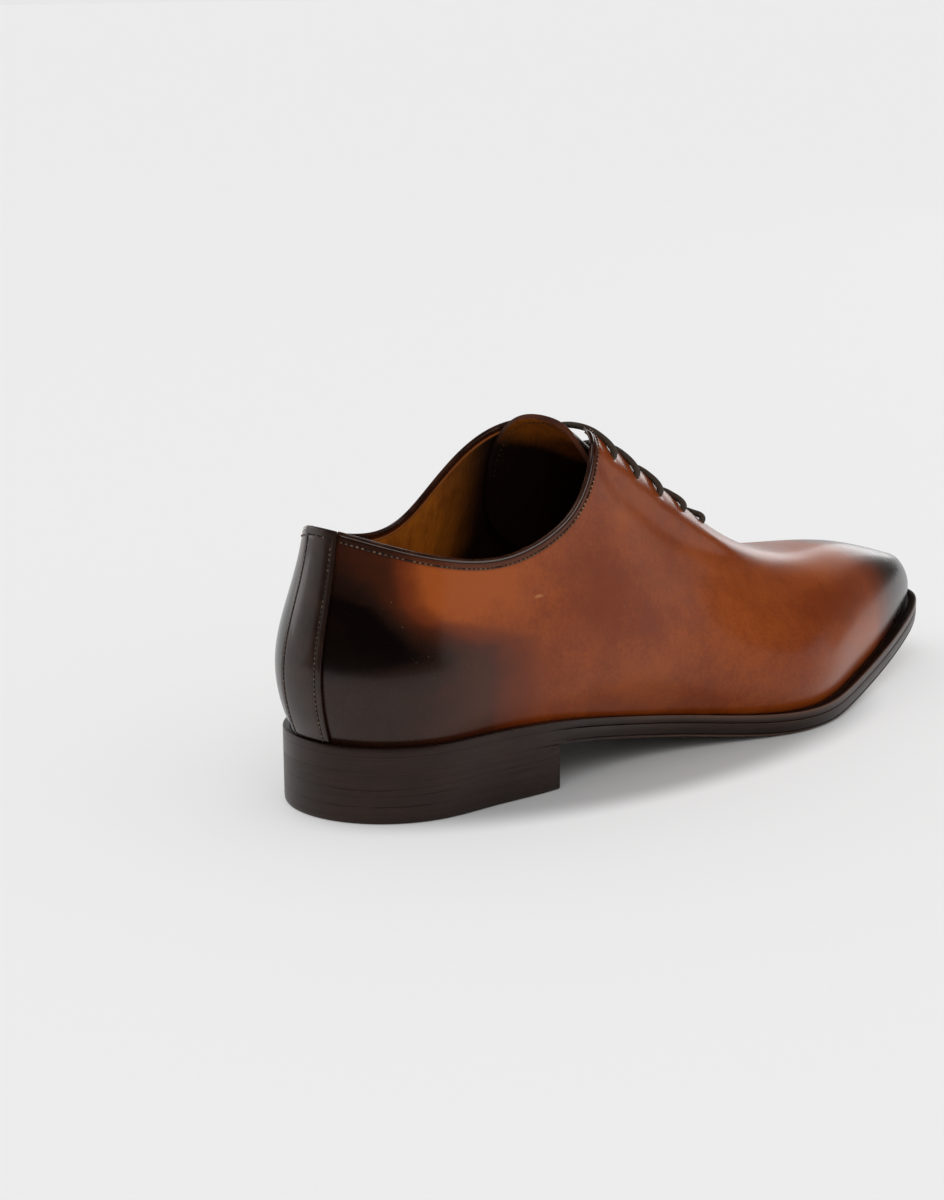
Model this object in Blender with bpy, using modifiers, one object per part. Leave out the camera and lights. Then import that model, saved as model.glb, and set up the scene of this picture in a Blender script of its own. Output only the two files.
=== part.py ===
"""Right wholecut oxford shoe, built on the sections of its last.

Tables are in millimetres, in the last's frame: x runs from the back of the heel to the toe, y towards the
inner side of the foot and z up from the floor. Meshes are scaled to metres and hang from one empty that puts
the middle of the shoe's footprint at the origin.
"""
from functools import lru_cache
from math import cos, radians, sin
from typing import Callable, NamedTuple, Sequence

import bmesh
import bpy
import numpy as np
from mathutils import Matrix, Vector

MM = 0.001
MERGE = 0.00002
MIDDLE = (153.35, 5.8)

# Thicknesses and clearances
FIT = 0.3
WALL = 1.8
WELT = 2.5
OUTSOLE = 5.0
INSOLE = 2.6
EDGE_BEVEL = 1.2
STRIP = 1.0
STRIP_HALF_WIDTH = 9.5
BEAD_RADIUS = 0.75
TONGUE = 1.6
TOP_LIFT = 5.7
LIFT = 5.2

# Lacing
LACE_RADIUS = 1.0
EYELET_RADIUS = 1.8
EYELET_COUNT = 5
EYELET_FIRST_X = 122.0
EYELET_PITCH = 12.6
EYELET_REACH_TOP = 18.0
EYELET_REACH_END = 12.5
LACE_UNDER = WALL + 2 * FIT + LACE_RADIUS
LACE_OVER = FIT + LACE_RADIUS
RETURN_INSIDE = 4.2

# Throat between the facings
FACING_X = 118.0
THROAT_END_X = 182.0


class Section(NamedTuple):
    """A section of the last: where it stands under the ridge, and the way that it is turned in plan."""

    name: str
    x: float
    y: float
    turn: float


class Side(NamedTuple):
    """One side of a section: reaches from its stand, and heights."""

    edge: float
    margin: float
    bulge: float
    belly: float
    flank: float
    flank_height: float


class Height(NamedTuple):
    """A height at a place along the shoe."""

    x: float
    z: float


class Collar(NamedTuple):
    """Heights of the collar's edge at a place along the shoe."""

    x: float
    lateral: float
    medial: float


class Width(NamedTuple):
    """A half width at a place along the shoe."""

    x: float
    half: float


class Finish(NamedTuple):
    """Colour and surface of one material."""

    colour: tuple
    roughness: float


SECTIONS = (
    Section("heel back", 34, 0, 180),
    Section("heel turn", 36, 0, 148),
    Section("heel bend", 42, 0, 118),
    Section("heel side", 54, 0, 98),
    Section("breast", 77, 0, 90),
    Section("waist", 110, 1, 90),
    Section("instep", 148, 2, 90),
    Section("ball", 186, 4, 90),
    Section("vamp", 218, 5, 90),
    Section("toe root", 248, 6.5, 87),
    Section("toe side", 272, 8.5, 70),
    Section("toe corner", 285, 10, 38),
    Section("toe tip", 288, 11, 0),
)

LATERAL = (
    Side(34.0, 3.5, 5.5, 22, 26.0, 91),
    Side(35.6, 3.5, 5.5, 22, 27.5, 89),
    Side(36.7, 3.5, 5.0, 22, 30.0, 85),
    Side(34.6, 3.5, 5.0, 22, 31.0, 81),
    Side(35.3, 4.0, 5.5, 22, 31.5, 80),
    Side(33.0, 3.8, 9.3, 22, 28.0, 84),
    Side(38.3, 4.2, 7.2, 20, 26.0, 66),
    Side(50.2, 5.2, 5.2, 16, 31.0, 48),
    Side(44.5, 5.5, 4.0, 14, 31.0, 43),
    Side(33.2, 5.5, 3.0, 12, 23.0, 42),
    Side(23.2, 5.5, 2.5, 10, 14.5, 40.5),
    Side(19.5, 5.5, 2.0, 9, 11.0, 38.0),
    Side(22.0, 5.5, 2.0, 9, 12.5, 36.5),
)

MEDIAL = (
    Side(34.0, 3.5, 5.5, 22, 26.0, 91),
    Side(35.6, 3.5, 5.5, 22, 27.5, 89),
    Side(36.5, 3.5, 5.0, 22, 30.0, 86),
    Side(33.6, 3.5, 5.0, 22, 31.0, 83),
    Side(31.8, 4.0, 6.5, 22, 30.5, 84),
    Side(24.0, 3.8, 10.8, 24, 25.0, 90),
    Side(31.0, 4.2, 7.2, 24, 23.0, 70),
    Side(50.0, 5.2, 4.2, 16, 30.0, 50),
    Side(51.0, 5.5, 3.0, 14, 34.0, 44),
    Side(37.5, 5.5, 2.5, 12, 25.0, 42),
    Side(26.0, 5.5, 2.0, 10, 16.0, 40.5),
    Side(23.0, 5.5, 2.0, 9, 13.5, 38.0),
    Side(22.0, 5.5, 2.0, 9, 12.5, 36.5),
)

# Top of the welt, from the heel seat over the waist and the tread to the toe spring
LIP = (
    Height(0, 25.0),
    Height(40, 24.4),
    Height(77, 22.8),
    Height(108, 17.8),
    Height(140, 12.6),
    Height(165, 9.0),
    Height(190, 7.5),
    Height(215, 8.5),
    Height(245, 11.8),
    Height(275, 16.2),
    Height(310, 22.4),
)

# Crest of the last, which the upper meets from the throat's end to the toe
RIDGE = (
    Height(34, 150),
    Height(54, 146),
    Height(77, 137.5),
    Height(110, 117.3),
    Height(148, 91.2),
    Height(186, 65.6),
    Height(218, 53.5),
    Height(248, 50.5),
    Height(272, 46.0),
    Height(288, 41),
)

TOPLINE = (
    Collar(6, 91.0, 91.0),
    Collar(16, 86.7, 86.7),
    Collar(28, 82.7, 82.7),
    Collar(42, 79.5, 79.2),
    Collar(56, 78.4, 77.6),
    Collar(70, 80.4, 82.0),
    Collar(82, 84.2, 92.4),
    Collar(92, 89.4, 101.8),
    Collar(101, 97.2, 108.2),
    Collar(109, 105.4, 111.4),
    Collar(118, 111.0, 113.0),
)

THROAT = (
    Width(FACING_X, 7.0),
    Width(150, 4.6),
    Width(174, 1.8),
    Width(THROAT_END_X, 0.0),
)

TONGUE_PLAN = (
    Width(106, 8.0),
    Width(107, 13.0),
    Width(109.5, 19.0),
    Width(114, 23.0),
    Width(125, 24.0),
    Width(150, 22.0),
    Width(196, 15.0),
)

# Depth of the tongue's face under the outside of the upper
TONGUE_DEPTH = (
    Width(106, 4.9),
    Width(176, 4.9),
    Width(196, 2.4),
)

# How broad the crest is
CREST = 1.4

TOE = len(SECTIONS) - 1
ROUND = 2 * TOE
BREAST = 4

LEATHER = Finish((0.262, 0.070, 0.026), 0.32)
STRIP_LEATHER = Finish((0.042, 0.020, 0.014), 0.30)
EDGE_LEATHER = Finish((0.026, 0.016, 0.012), 0.42)
LINING = Finish((0.220, 0.105, 0.026), 0.62)
CORD = Finish((0.030, 0.017, 0.011), 0.75)


class Spline:
    """Cubic spline through rows of values, with natural ends or given end slopes."""

    def __init__(self, places: Sequence[float], rows: np.ndarray, start=None, end=None) -> None:
        self.places = np.asarray(places, float)
        self.rows = np.asarray(rows, float).reshape(len(self.places), -1)
        steps = np.diff(self.places)
        rises = np.diff(self.rows, axis=0) / steps[:, None]
        matrix = np.eye(len(self.places))
        target = np.zeros_like(self.rows)
        for i in range(1, len(steps)):
            matrix[i, i - 1:i + 2] = steps[i - 1], 2 * (steps[i - 1] + steps[i]), steps[i]
            target[i] = 6 * (rises[i] - rises[i - 1])
        if start is not None:
            matrix[0, :2] = 2 * steps[0], steps[0]
            target[0] = 6 * (rises[0] - start)
        if end is not None:
            matrix[-1, -2:] = steps[-1], 2 * steps[-1]
            target[-1] = 6 * (end - rises[-1])
        self.bends = np.linalg.solve(matrix, target)

    def at(self, place) -> np.ndarray:
        """Rows of values at one or more places."""
        place = np.atleast_1d(np.asarray(place, float))
        i = np.clip(np.searchsorted(self.places, place) - 1, 0, len(self.places) - 2)
        step = (self.places[i + 1] - self.places[i])[:, None]
        part = (place - self.places[i])[:, None]
        low, high = self.bends[i], self.bends[i + 1]
        slope = (self.rows[i + 1] - self.rows[i]) / step - step * (2 * low + high) / 6
        return self.rows[i] + part * (slope + part * (low / 2 + part * (high - low) / (6 * step)))


class Profile:
    """A smooth height or half width along the shoe."""

    def __init__(self, rows: Sequence) -> None:
        self.spline = Spline([row[0] for row in rows], np.array([row[1:] for row in rows]))

    def at(self, x: float, column: int = 0) -> float:
        return float(self.spline.at(x)[0, column])

    def slope(self, x: float) -> float:
        return self.at(x + 0.5) - self.at(x - 0.5)


lip = Profile(LIP)
ridge = Profile(RIDGE)
topline = Profile(TOPLINE)


def outsole_top(x: float) -> float:
    """Height of the outsole's upper face."""
    return lip.at(x) - WELT - FIT


def outsole_bottom(x: float) -> float:
    """Height of the outsole's lower face, flat on the floor under the ball."""
    return max(outsole_top(x) - OUTSOLE, 0.0)


def along(rows: Sequence[Width], x: float) -> float:
    """Half width at x on straight lines between the rows."""
    return float(np.interp(x, [row.x for row in rows], [row.half for row in rows]))


class Cut:
    """The outside of the upper in one upright half plane."""

    def __init__(self, values: np.ndarray) -> None:
        x, y, turn, edge, margin, bulge, belly, flank, flank_height = values
        self.base = np.array([x, y])
        self.way = np.array([cos(radians(turn)), -sin(radians(turn))])
        self.edge = edge
        self.feather = edge - margin
        low = outsole_top((self.base + self.feather * self.way)[0]) + FIT
        knots = np.array([
            [self.feather, low],
            [self.feather + bulge, low + belly],
            [flank, flank_height],
            [0.0, ridge.at(x)],
        ])
        lengths = np.concatenate([[0.0], np.cumsum(np.linalg.norm(np.diff(knots, axis=0), axis=1))])
        total = lengths[-1]
        start = np.array([2 * bulge, belly])
        end = np.array([-1.0, -ridge.slope(x) * self.way[0]])
        start *= total / np.linalg.norm(start)
        self.curve = Spline(lengths / total, knots, start, end * total * CREST)
        self.scan = np.linspace(0.0, 1.0, 401)
        self.scanned = self.curve.at(self.scan)

    def points(self, t) -> np.ndarray:
        """Points at shares t of the way from the feather line to the ridge."""
        reach, height = self.curve.at(t).T
        return np.column_stack([self.base + reach[:, None] * self.way, height])

    def at_reach(self, reach: float) -> float:
        """Share of the way where the flank has come in to a reach."""
        upper = self.scan > 0.4
        return float(np.interp(-reach, -self.scanned[upper, 0], self.scan[upper]))

    def at_height(self, height: float) -> float:
        """Share of the way where the wall has come up to a height near its foot."""
        lower = self.scan < 0.3
        return float(np.interp(height, self.scanned[lower, 1], self.scan[lower]))

    def at_topline(self, column: int) -> float:
        """Share of the way where the wall crosses the collar's edge."""
        points = self.points(self.scan)
        over = points[:, 2] - topline.spline.at(points[:, 0])[:, column]
        above = (over >= 0) & (self.scan > 0.2)
        if not above.any():
            return 1.0
        first = int(np.argmax(above))
        return float(np.interp(0.0, over[first - 1:first + 1], self.scan[first - 1:first + 1]))


class Last:
    """The whole form, with stations 0 at the heel's back, up the outer side to the toe, and back inside."""

    def __init__(self) -> None:
        rows = [(s.x, s.y, s.turn, *side) for s, side in zip(SECTIONS, LATERAL)]
        back = [(s.x, s.y, -s.turn, *side) for s, side in zip(SECTIONS, MEDIAL)]
        rows = np.array(rows + back[-2:0:-1])
        rows[:, 2] -= self.trend(np.arange(ROUND))
        places = np.arange(-TOE, ROUND + TOE)
        self.spline = Spline(places, rows[places % ROUND])
        stations = np.linspace(0, TOE, 1201)
        self.plan = (self.spline.at(stations)[:, 0], stations)

    @staticmethod
    def trend(station):
        """The turn that a section would have if all were spread evenly."""
        return 180.0 - 360.0 * station / ROUND

    @lru_cache(maxsize=None)
    def cut(self, station: float) -> Cut:
        """The section at a station."""
        station = station % ROUND
        values = self.spline.at(station)[0]
        values[2] += self.trend(station)
        return Cut(values)

    def station(self, x: float, medial: bool = False) -> float:
        """Station whose section stands at x."""
        found = round(float(np.interp(x, *self.plan)), 4)
        return ROUND - found if medial else found

    def outer(self, station: float, t: float) -> np.ndarray:
        """Point on the outside of the upper."""
        return self.cut(station).points(t)[0]

    def upward(self, station: float, t: float) -> np.ndarray:
        """Unit way up along the wall."""
        way = self.outer(station, t + 0.004) - self.outer(station, t - 0.004)
        return way / np.linalg.norm(way)

    def normal(self, station: float, t: float) -> np.ndarray:
        """Unit way out of the wall."""
        forward = self.outer(station + 0.02, t) - self.outer(station - 0.02, t)
        out = np.cross(forward, self.upward(station, t))
        return out / np.linalg.norm(out)

    def beside(self, station: float, t: float, offset: float) -> np.ndarray:
        """Point at an offset out of the upper's outside."""
        return self.outer(station, t) + offset * self.normal(station, t)

    def across(self, x: float, reach: float, offset: float) -> np.ndarray:
        """Point over or under the instep, with reach below zero on the outer side."""
        station = self.station(x, reach > 0)
        return self.beside(station, self.cut(station).at_reach(abs(reach)), offset)

    def rim(self, station: float) -> float:
        """Share of the way up to the upper's edge at collar, throat or ridge."""
        cut = self.cut(station)
        x = cut.base[0]
        if x >= THROAT_END_X:
            return 1.0
        share = cut.at_reach(along(THROAT, x)) if x > 100 else 1.0
        if x <= FACING_X:
            share = min(share, cut.at_topline(int(station % ROUND > TOE)))
        return share

    def facing(self, medial: bool) -> float:
        """Station of a facing's top corner, where collar and throat meet."""
        for x in np.arange(FACING_X, TOPLINE[-3].x, -0.5):
            cut = self.cut(self.station(x, medial))
            if cut.at_topline(int(medial)) < cut.at_reach(along(THROAT, x)):
                break
        return self.station(x, medial)

    def off_edge(self, station: float) -> np.ndarray:
        """Unit way off the upper's edge, in the wall and square to the edge."""
        before, after = (self.outer(place, self.rim(place)) for place in (station - 0.02, station + 0.02))
        off = np.cross(self.normal(station, self.rim(station)), after - before)
        return off / np.linalg.norm(off)


last = Last()


def stations(step: float, marks: Sequence[float] = ()) -> np.ndarray:
    """Stations round the whole shoe, with the nearest ones moved on to the marks."""
    found = np.linspace(0, ROUND, round(ROUND / step) + 1)
    for mark in marks:
        found[np.argmin(abs(found - mark))] = mark
    return np.round(found, 5)


def sheet(columns: int, rows: int, place: Callable[[int, int], np.ndarray]) -> bmesh.types.BMesh:
    """A grid whose crossings are put in place by a function, welded where they meet."""
    mesh = bmesh.new()
    bmesh.ops.create_grid(mesh, x_segments=columns, y_segments=rows, size=1)
    for vert in mesh.verts:
        i = round((vert.co.x + 1) / 2 * columns)
        j = round((vert.co.y + 1) / 2 * rows)
        vert.co = Vector(place(i, j)) * MM
    bmesh.ops.remove_doubles(mesh, verts=mesh.verts, dist=MERGE)
    return mesh


def material(name: str, finish: Finish) -> bpy.types.Material:
    """A plain Principled material."""
    made = bpy.data.materials.new(name)
    made.use_nodes = True
    shader = made.node_tree.nodes["Principled BSDF"]
    shader.inputs["Base Color"].default_value = (*finish.colour, 1.0)
    shader.inputs["Roughness"].default_value = finish.roughness
    shader.inputs["Metallic"].default_value = 0.0
    return made


class Shoe:
    """Collections, the empty that carries the parts, and what adds parts to them."""

    def __init__(self) -> None:
        for thing in list(bpy.data.objects):
            bpy.data.objects.remove(thing)
        self.parts = self.collection("oxford_shoe")
        self.cutters = self.collection("cutters")
        self.stand = bpy.data.objects.new("oxford_shoe_stand", None)
        self.stand.location = (-MIDDLE[0] * MM, -MIDDLE[1] * MM, 0.0)
        self.parts.objects.link(self.stand)

    @staticmethod
    def collection(name: str) -> bpy.types.Collection:
        made = bpy.data.collections.new(name)
        bpy.context.scene.collection.children.link(made)
        return made

    def add(self, name: str, mesh: bmesh.types.BMesh, finish: Finish, closed: bool) -> bpy.types.Object:
        """Add a mesh as a named part with its own material."""
        if closed:
            bmesh.ops.recalc_face_normals(mesh, faces=mesh.faces)
        data = bpy.data.meshes.new(name)
        mesh.to_mesh(data)
        mesh.free()
        data.materials.append(material(f"{name}_finish", finish))
        part = bpy.data.objects.new(name, data)
        part.parent = self.stand
        self.parts.objects.link(part)
        return part

    def add_shell(self, name: str, mesh, finish: Finish, thickness: float, outward: bool) -> bpy.types.Object:
        """Add an open sheet thickened to one side."""
        part = self.add(name, mesh, finish, closed=False)
        solid = part.modifiers.new("wall", "SOLIDIFY")
        solid.thickness = thickness * MM
        solid.offset = 1.0 if outward else -1.0
        solid.use_even_offset = True
        return part

    def add_tube(self, name: str, path: Sequence[np.ndarray], radius: float, finish: Finish) -> None:
        """Add a round cord along a path, as a welded mesh."""
        curve = bpy.data.curves.new(name, "CURVE")
        curve.dimensions = "3D"
        curve.bevel_depth = radius * MM
        curve.bevel_resolution = 1
        curve.use_fill_caps = True
        spline = curve.splines.new("POLY")
        spline.points.add(len(path) - 1)
        for point, place in zip(spline.points, path):
            point.co = (*(np.asarray(place) * MM), 1.0)
        holder = bpy.data.objects.new(f"{name}_path", curve)
        data = bpy.data.meshes.new_from_object(holder)
        bpy.data.objects.remove(holder)
        mesh = bmesh.new()
        mesh.from_mesh(data)
        bpy.data.meshes.remove(data)
        bmesh.ops.remove_doubles(mesh, verts=mesh.verts, dist=MERGE)
        self.add(name, mesh, finish, closed=True)


# Upper, its strip and its rolled edges

def upper_stations() -> np.ndarray:
    """Stations of the upper's mesh, with some at the facings' corners and at the throat's end."""
    marks = [last.facing(False), last.facing(True)]
    marks += [last.station(THROAT_END_X), last.station(THROAT_END_X, medial=True)]
    return stations(1 / 3, marks)


def build_upper(shoe: Shoe) -> None:
    """The wholecut shell, with its eyelets."""
    places = upper_stations()
    rows = 15
    rims = [last.rim(place) for place in places]
    mesh = sheet(len(places) - 1, rows, lambda i, j: last.outer(places[i], rims[i] * j / rows))
    part = shoe.add_shell("upper", mesh, LEATHER, WALL, outward=False)
    cutters = bmesh.new()
    for x, reach in eyelets():
        for side in (-1, 1):
            foot = last.across(x, side * reach, -4.0) * MM
            head = last.across(x, side * reach, 3.0) * MM
            turn = Vector(head - foot).to_track_quat("Z", "Y").to_matrix().to_4x4()
            stand = Matrix.Translation(Vector((foot + head) / 2)) @ turn
            radius = EYELET_RADIUS * MM
            bmesh.ops.create_cone(cutters, cap_ends=True, segments=10, radius1=radius, radius2=radius,
                                  depth=float(np.linalg.norm(head - foot)), matrix=stand)
    data = bpy.data.meshes.new("eyelet_cutters")
    cutters.to_mesh(data)
    cutters.free()
    tool = bpy.data.objects.new("eyelet_cutters", data)
    tool.parent = shoe.stand
    tool.hide_render = True
    tool.display_type = "WIRE"
    shoe.cutters.objects.link(tool)
    holes = part.modifiers.new("eyelets", "BOOLEAN")
    holes.operation = "DIFFERENCE"
    holes.solver = "EXACT"
    holes.object = tool


def strip_station() -> float:
    """Station at the edge of the back strip."""
    wide = STRIP_HALF_WIDTH / (SECTIONS[0].x + 2.0)
    return float(np.degrees(wide) / (SECTIONS[0].turn - SECTIONS[1].turn))


def build_back_strip(shoe: Shoe) -> None:
    """Strip over the seam at the heel's back."""
    columns, rows = 6, 14
    half = strip_station()

    def place(i: int, j: int) -> np.ndarray:
        station = half * (2 * i / columns - 1)
        cut = last.cut(station % ROUND)
        foot = cut.at_height(lip.at(0) + FIT + STRIP)
        head = last.rim(station) + 0.012
        return last.beside(station, foot + (head - foot) * j / rows, FIT)

    shoe.add_shell("back_strip", sheet(columns, rows, place), STRIP_LEATHER, STRIP, outward=True)


def build_beads(shoe: Shoe) -> None:
    """Rolled edge on the collar, on each side from the back strip to the facing."""
    places = upper_stations()
    first = strip_station() + 0.03
    end = ROUND - first
    sides = {
        "topline_bead_lateral": [first, *places[(places > first) & (places < last.facing(False))]],
        "topline_bead_medial": [*places[(places > last.facing(True)) & (places < end)], end],
    }
    for name, side in sides.items():
        path = []
        for station in side:
            rim = last.rim(station)
            lift = (FIT + BEAD_RADIUS + 0.1) * last.off_edge(station)
            path.append(last.beside(station, rim, -WALL / 2) + lift)
        shoe.add_tube(name, path, BEAD_RADIUS, STRIP_LEATHER)


# Tongue and lace

def build_tongue(shoe: Shoe) -> None:
    """Tongue under the facings, sewn in under the vamp."""
    columns, rows = 18, 12
    xs = np.linspace(TONGUE_PLAN[0].x, TONGUE_PLAN[-1].x, columns + 1)

    def place(i: int, j: int) -> np.ndarray:
        reach = along(TONGUE_PLAN, xs[i]) * (2 * j / rows - 1)
        return last.across(xs[i], reach, -along(TONGUE_DEPTH, xs[i]))

    shoe.add_shell("tongue", sheet(columns, rows, place), LINING, TONGUE, outward=False)


def eyelets() -> list:
    """Place along the shoe and reach of each pair of eyelets, from the top down."""
    reaches = np.linspace(EYELET_REACH_TOP, EYELET_REACH_END, EYELET_COUNT)
    return [(EYELET_FIRST_X + EYELET_PITCH * i, float(reach)) for i, reach in enumerate(reaches)]


def lace_bar(x: float, reach: float, side: int) -> list:
    """One bar, up through an eyelet, over the throat and down through the opposite one."""
    turn = LACE_OVER
    path = [last.across(x, side * reach, height) for height in (-WALL - 0.2, -WALL / 2, 0.0)]
    path.append(last.across(x, side * (reach - 0.3 * turn), 0.72 * turn))
    for share in np.linspace(1, -1, 9):
        path.append(last.across(x, side * share * (reach - turn), LACE_OVER))
    path.append(last.across(x, -side * (reach - 0.3 * turn), 0.72 * turn))
    path += [last.across(x, -side * reach, height) for height in (0.0, -WALL / 2, -WALL - 0.2)]
    return path


def build_lace(shoe: Shoe) -> None:
    """One cord: five bars joined under the facings, and its return to the top eyelet."""
    rows = eyelets()
    side = -1
    path = [last.across(rows[0][0], side * rows[0][1], -LACE_UNDER - 0.6)]
    for i, (x, reach) in enumerate(rows):
        path += lace_bar(x, reach, side)
        side = -side
        if i + 1 < len(rows):
            onward, onward_reach = rows[i + 1]
            for share in (0.12, 0.5, 0.88):
                between = reach + (onward_reach - reach) * share
                path.append(last.across(x + (onward - x) * share, side * between, -LACE_UNDER))
    x, reach = rows[-1]
    for share in np.linspace(0.04, 1, 10):
        back = x + (rows[0][0] - x) * share
        inside = reach + (rows[0][1] - reach) * share - RETURN_INSIDE * min(1.0, 8 * share)
        path.append(last.across(back, side * inside, -LACE_UNDER))
    shoe.add_tube("lace", path, LACE_RADIUS, CORD)


# Sole and heel

class Level(NamedTuple):
    """A step up the side of a slab: how far in it lies from the sole's edge, and its height."""

    inset: float
    height: Callable[[float], float]


def slab(places: Sequence[float], reach: Callable[[float], float], levels: Sequence[Level], across: int):
    """A body between its lowest and highest level, over the sections at the places."""
    shares = np.linspace(-1, 1, across + 1)[1:-1]
    up = [(-1.0, level) for level in levels]
    top = [(share, levels[-1]) for share in shares]
    down = [(1.0, level) for level in reversed(levels)]
    bottom = [(-share, levels[0]) for share in shares]
    loop = up + top + down + bottom

    def place(i: int, j: int) -> np.ndarray:
        share, level = loop[j % len(loop)]
        station = places[i] if share < 0 else (ROUND - places[i]) % ROUND
        cut = last.cut(float(station))
        point = cut.base + abs(share) * (reach(float(station)) - level.inset) * cut.way
        return np.array([*point, level.height(point[0])])

    mesh = sheet(len(places) - 1, len(loop), place)
    bmesh.ops.dissolve_degenerate(mesh, edges=mesh.edges, dist=MERGE)
    open_edges = [edge for edge in mesh.edges if edge.is_boundary]
    if open_edges:
        bmesh.ops.holes_fill(mesh, edges=open_edges)
    return mesh


def edge_reach(station: float) -> float:
    """Reach of the sole's edge."""
    return last.cut(station).edge


def insole_reach(station: float) -> float:
    """Reach of the insole inside the upper's wall, allowing for a wall that runs slantwise to the section."""
    cut = last.cut(station)
    line = (last.outer(station + 0.02, 0.0) - last.outer(station - 0.02, 0.0))[:2]
    slant = abs(cut.way[0] * line[1] - cut.way[1] * line[0]) / np.linalg.norm(line)
    return cut.feather - (WALL + FIT) / slant


def build_sole(shoe: Shoe) -> None:
    """Outsole and insole over the whole length."""
    places = np.round(np.linspace(0, TOE, 3 * TOE + 1), 5)
    levels = (
        Level(EDGE_BEVEL + 0.4, outsole_bottom),
        Level(0.5, lambda x: outsole_bottom(x) + EDGE_BEVEL),
        Level(0.0, lambda x: outsole_top(x) - 1.2),
        Level(0.0, outsole_top),
    )
    shoe.add("outsole", slab(places, edge_reach, levels, across=6), EDGE_LEATHER, closed=True)
    board = (
        Level(0.0, lambda x: outsole_top(x) + FIT),
        Level(0.0, lambda x: outsole_top(x) + FIT + INSOLE),
    )
    shoe.add("insole", slab(places, insole_reach, board, across=4), LINING, closed=True)


def build_welt(shoe: Shoe) -> None:
    """Welt on the outsole's margin, close to the upper all round."""
    places = upper_stations()

    def place(i: int, j: int) -> np.ndarray:
        cut = last.cut(float(places[i] % ROUND))
        edge = (cut.base + cut.edge * cut.way)[0]
        low = outsole_top(edge) + FIT
        foot = cut.feather + 0.35
        head_share = cut.at_height(lip.at(edge))
        head = float(cut.curve.at(head_share)[0, 0]) + 0.35
        corners = (
            (foot, low),
            (cut.edge, low),
            (cut.edge, low + WELT - 0.7),
            (cut.edge - 0.7, low + WELT),
            (head, low + WELT),
        )
        reach, height = corners[j % len(corners)]
        point = cut.base + reach * cut.way
        return np.array([*point, height + lip.at(point[0]) - lip.at(edge)])

    shoe.add("welt", sheet(len(places) - 1, 5, place), EDGE_LEATHER, closed=True)


def build_heel(shoe: Shoe) -> None:
    """Stacked lifts under the heel seat, down to the piece on the floor."""
    places = np.round(np.linspace(0, BREAST, 4 * BREAST + 1), 5)
    first = TOP_LIFT + FIT
    second = first + LIFT + FIT
    top_lift = (
        Level(1.0, lambda x: 0.0),
        Level(0.4, lambda x: 0.8),
        Level(0.3, lambda x: TOP_LIFT),
    )
    lower = (
        Level(0.3, lambda x: first),
        Level(0.2, lambda x: first + LIFT),
    )
    upper = (
        Level(0.2, lambda x: second),
        Level(0.1, lambda x: outsole_bottom(x) - FIT),
    )
    for name, levels in (("heel_top_lift", top_lift), ("heel_lift_lower", lower), ("heel_lift_upper", upper)):
        shoe.add(name, slab(places, edge_reach, levels, across=4), EDGE_LEATHER, closed=True)


def main() -> None:
    """Build every part."""
    shoe = Shoe()
    build_upper(shoe)
    build_back_strip(shoe)
    build_beads(shoe)
    build_tongue(shoe)
    build_lace(shoe)
    build_sole(shoe)
    build_welt(shoe)
    build_heel(shoe)


main()
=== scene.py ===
"""Looks of a right wholecut oxford shoe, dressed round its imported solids.

Sizes are in millimetres in the last's frame: x from the back of the heel to the toe, y towards the inner
side of the foot and z up from the floor. Meshes are made in metres, in the row's frame.
"""

import logging
from dataclasses import dataclass
from enum import Enum
from functools import lru_cache, reduce
from math import cos, pi, radians, sin
from typing import Callable, Mapping, NamedTuple, Optional, Sequence, Union

import bmesh
import bpy
import numpy as np
from mathutils import Matrix, Vector


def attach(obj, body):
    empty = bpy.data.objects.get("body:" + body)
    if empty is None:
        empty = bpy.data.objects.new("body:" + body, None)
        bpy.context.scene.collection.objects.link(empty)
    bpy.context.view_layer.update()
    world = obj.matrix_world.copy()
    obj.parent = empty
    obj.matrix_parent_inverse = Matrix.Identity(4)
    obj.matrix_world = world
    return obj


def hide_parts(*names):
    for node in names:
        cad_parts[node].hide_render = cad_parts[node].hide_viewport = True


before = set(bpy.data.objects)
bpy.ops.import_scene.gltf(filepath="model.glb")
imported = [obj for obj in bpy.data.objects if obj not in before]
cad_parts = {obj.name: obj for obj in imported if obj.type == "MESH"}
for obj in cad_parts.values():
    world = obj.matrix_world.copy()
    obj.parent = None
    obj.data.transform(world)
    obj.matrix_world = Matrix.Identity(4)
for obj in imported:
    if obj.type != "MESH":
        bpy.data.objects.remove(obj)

Colour = tuple[float, float, float]
Numbers = Union[float, np.ndarray]
Rule = Callable[[float], float]

LOG = logging.getLogger("oxford_shoe")
BODY = "root"
MM = 0.001

# Points closer than this, in metres, are one
WELD = 0.00002

# The row's origin in the last's frame
MIDDLE = (153.35, 5.8, 0.0)

# Tint that the polish gives to highlights
WARM: Colour = (1.0, 0.84, 0.77)


class Stance(Enum):
    """How a repeated shape lies on its path."""

    ALONG = "along"
    ACROSS = "across"


class Section(NamedTuple):
    """A section of the last: where it stands under the ridge, and the way that it is turned in plan."""

    name: str
    x: float
    y: float
    turn: float


class Side(NamedTuple):
    """One side of a section: reaches from its stand, and heights."""

    edge: float
    margin: float
    bulge: float
    belly: float
    flank: float
    flank_height: float


class Height(NamedTuple):
    """A height at a place along the shoe."""

    x: float
    z: float


class Collar(NamedTuple):
    """Heights of the collar's edge at a place along the shoe."""

    x: float
    lateral: float
    medial: float


class Width(NamedTuple):
    """A half width at a place along the shoe."""

    x: float
    half: float


class Tone(NamedTuple):
    """Places along the shoe where the burnish is black, deep, dark, warm and gone, at a height."""

    z: float
    places: tuple[float, float, float, float, float]


class Cloud(NamedTuple):
    """A soft lighter or darker place on the leather: its strength, middle and spread."""

    strength: float
    x: float
    x_spread: float
    z: float
    z_spread: float


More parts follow.
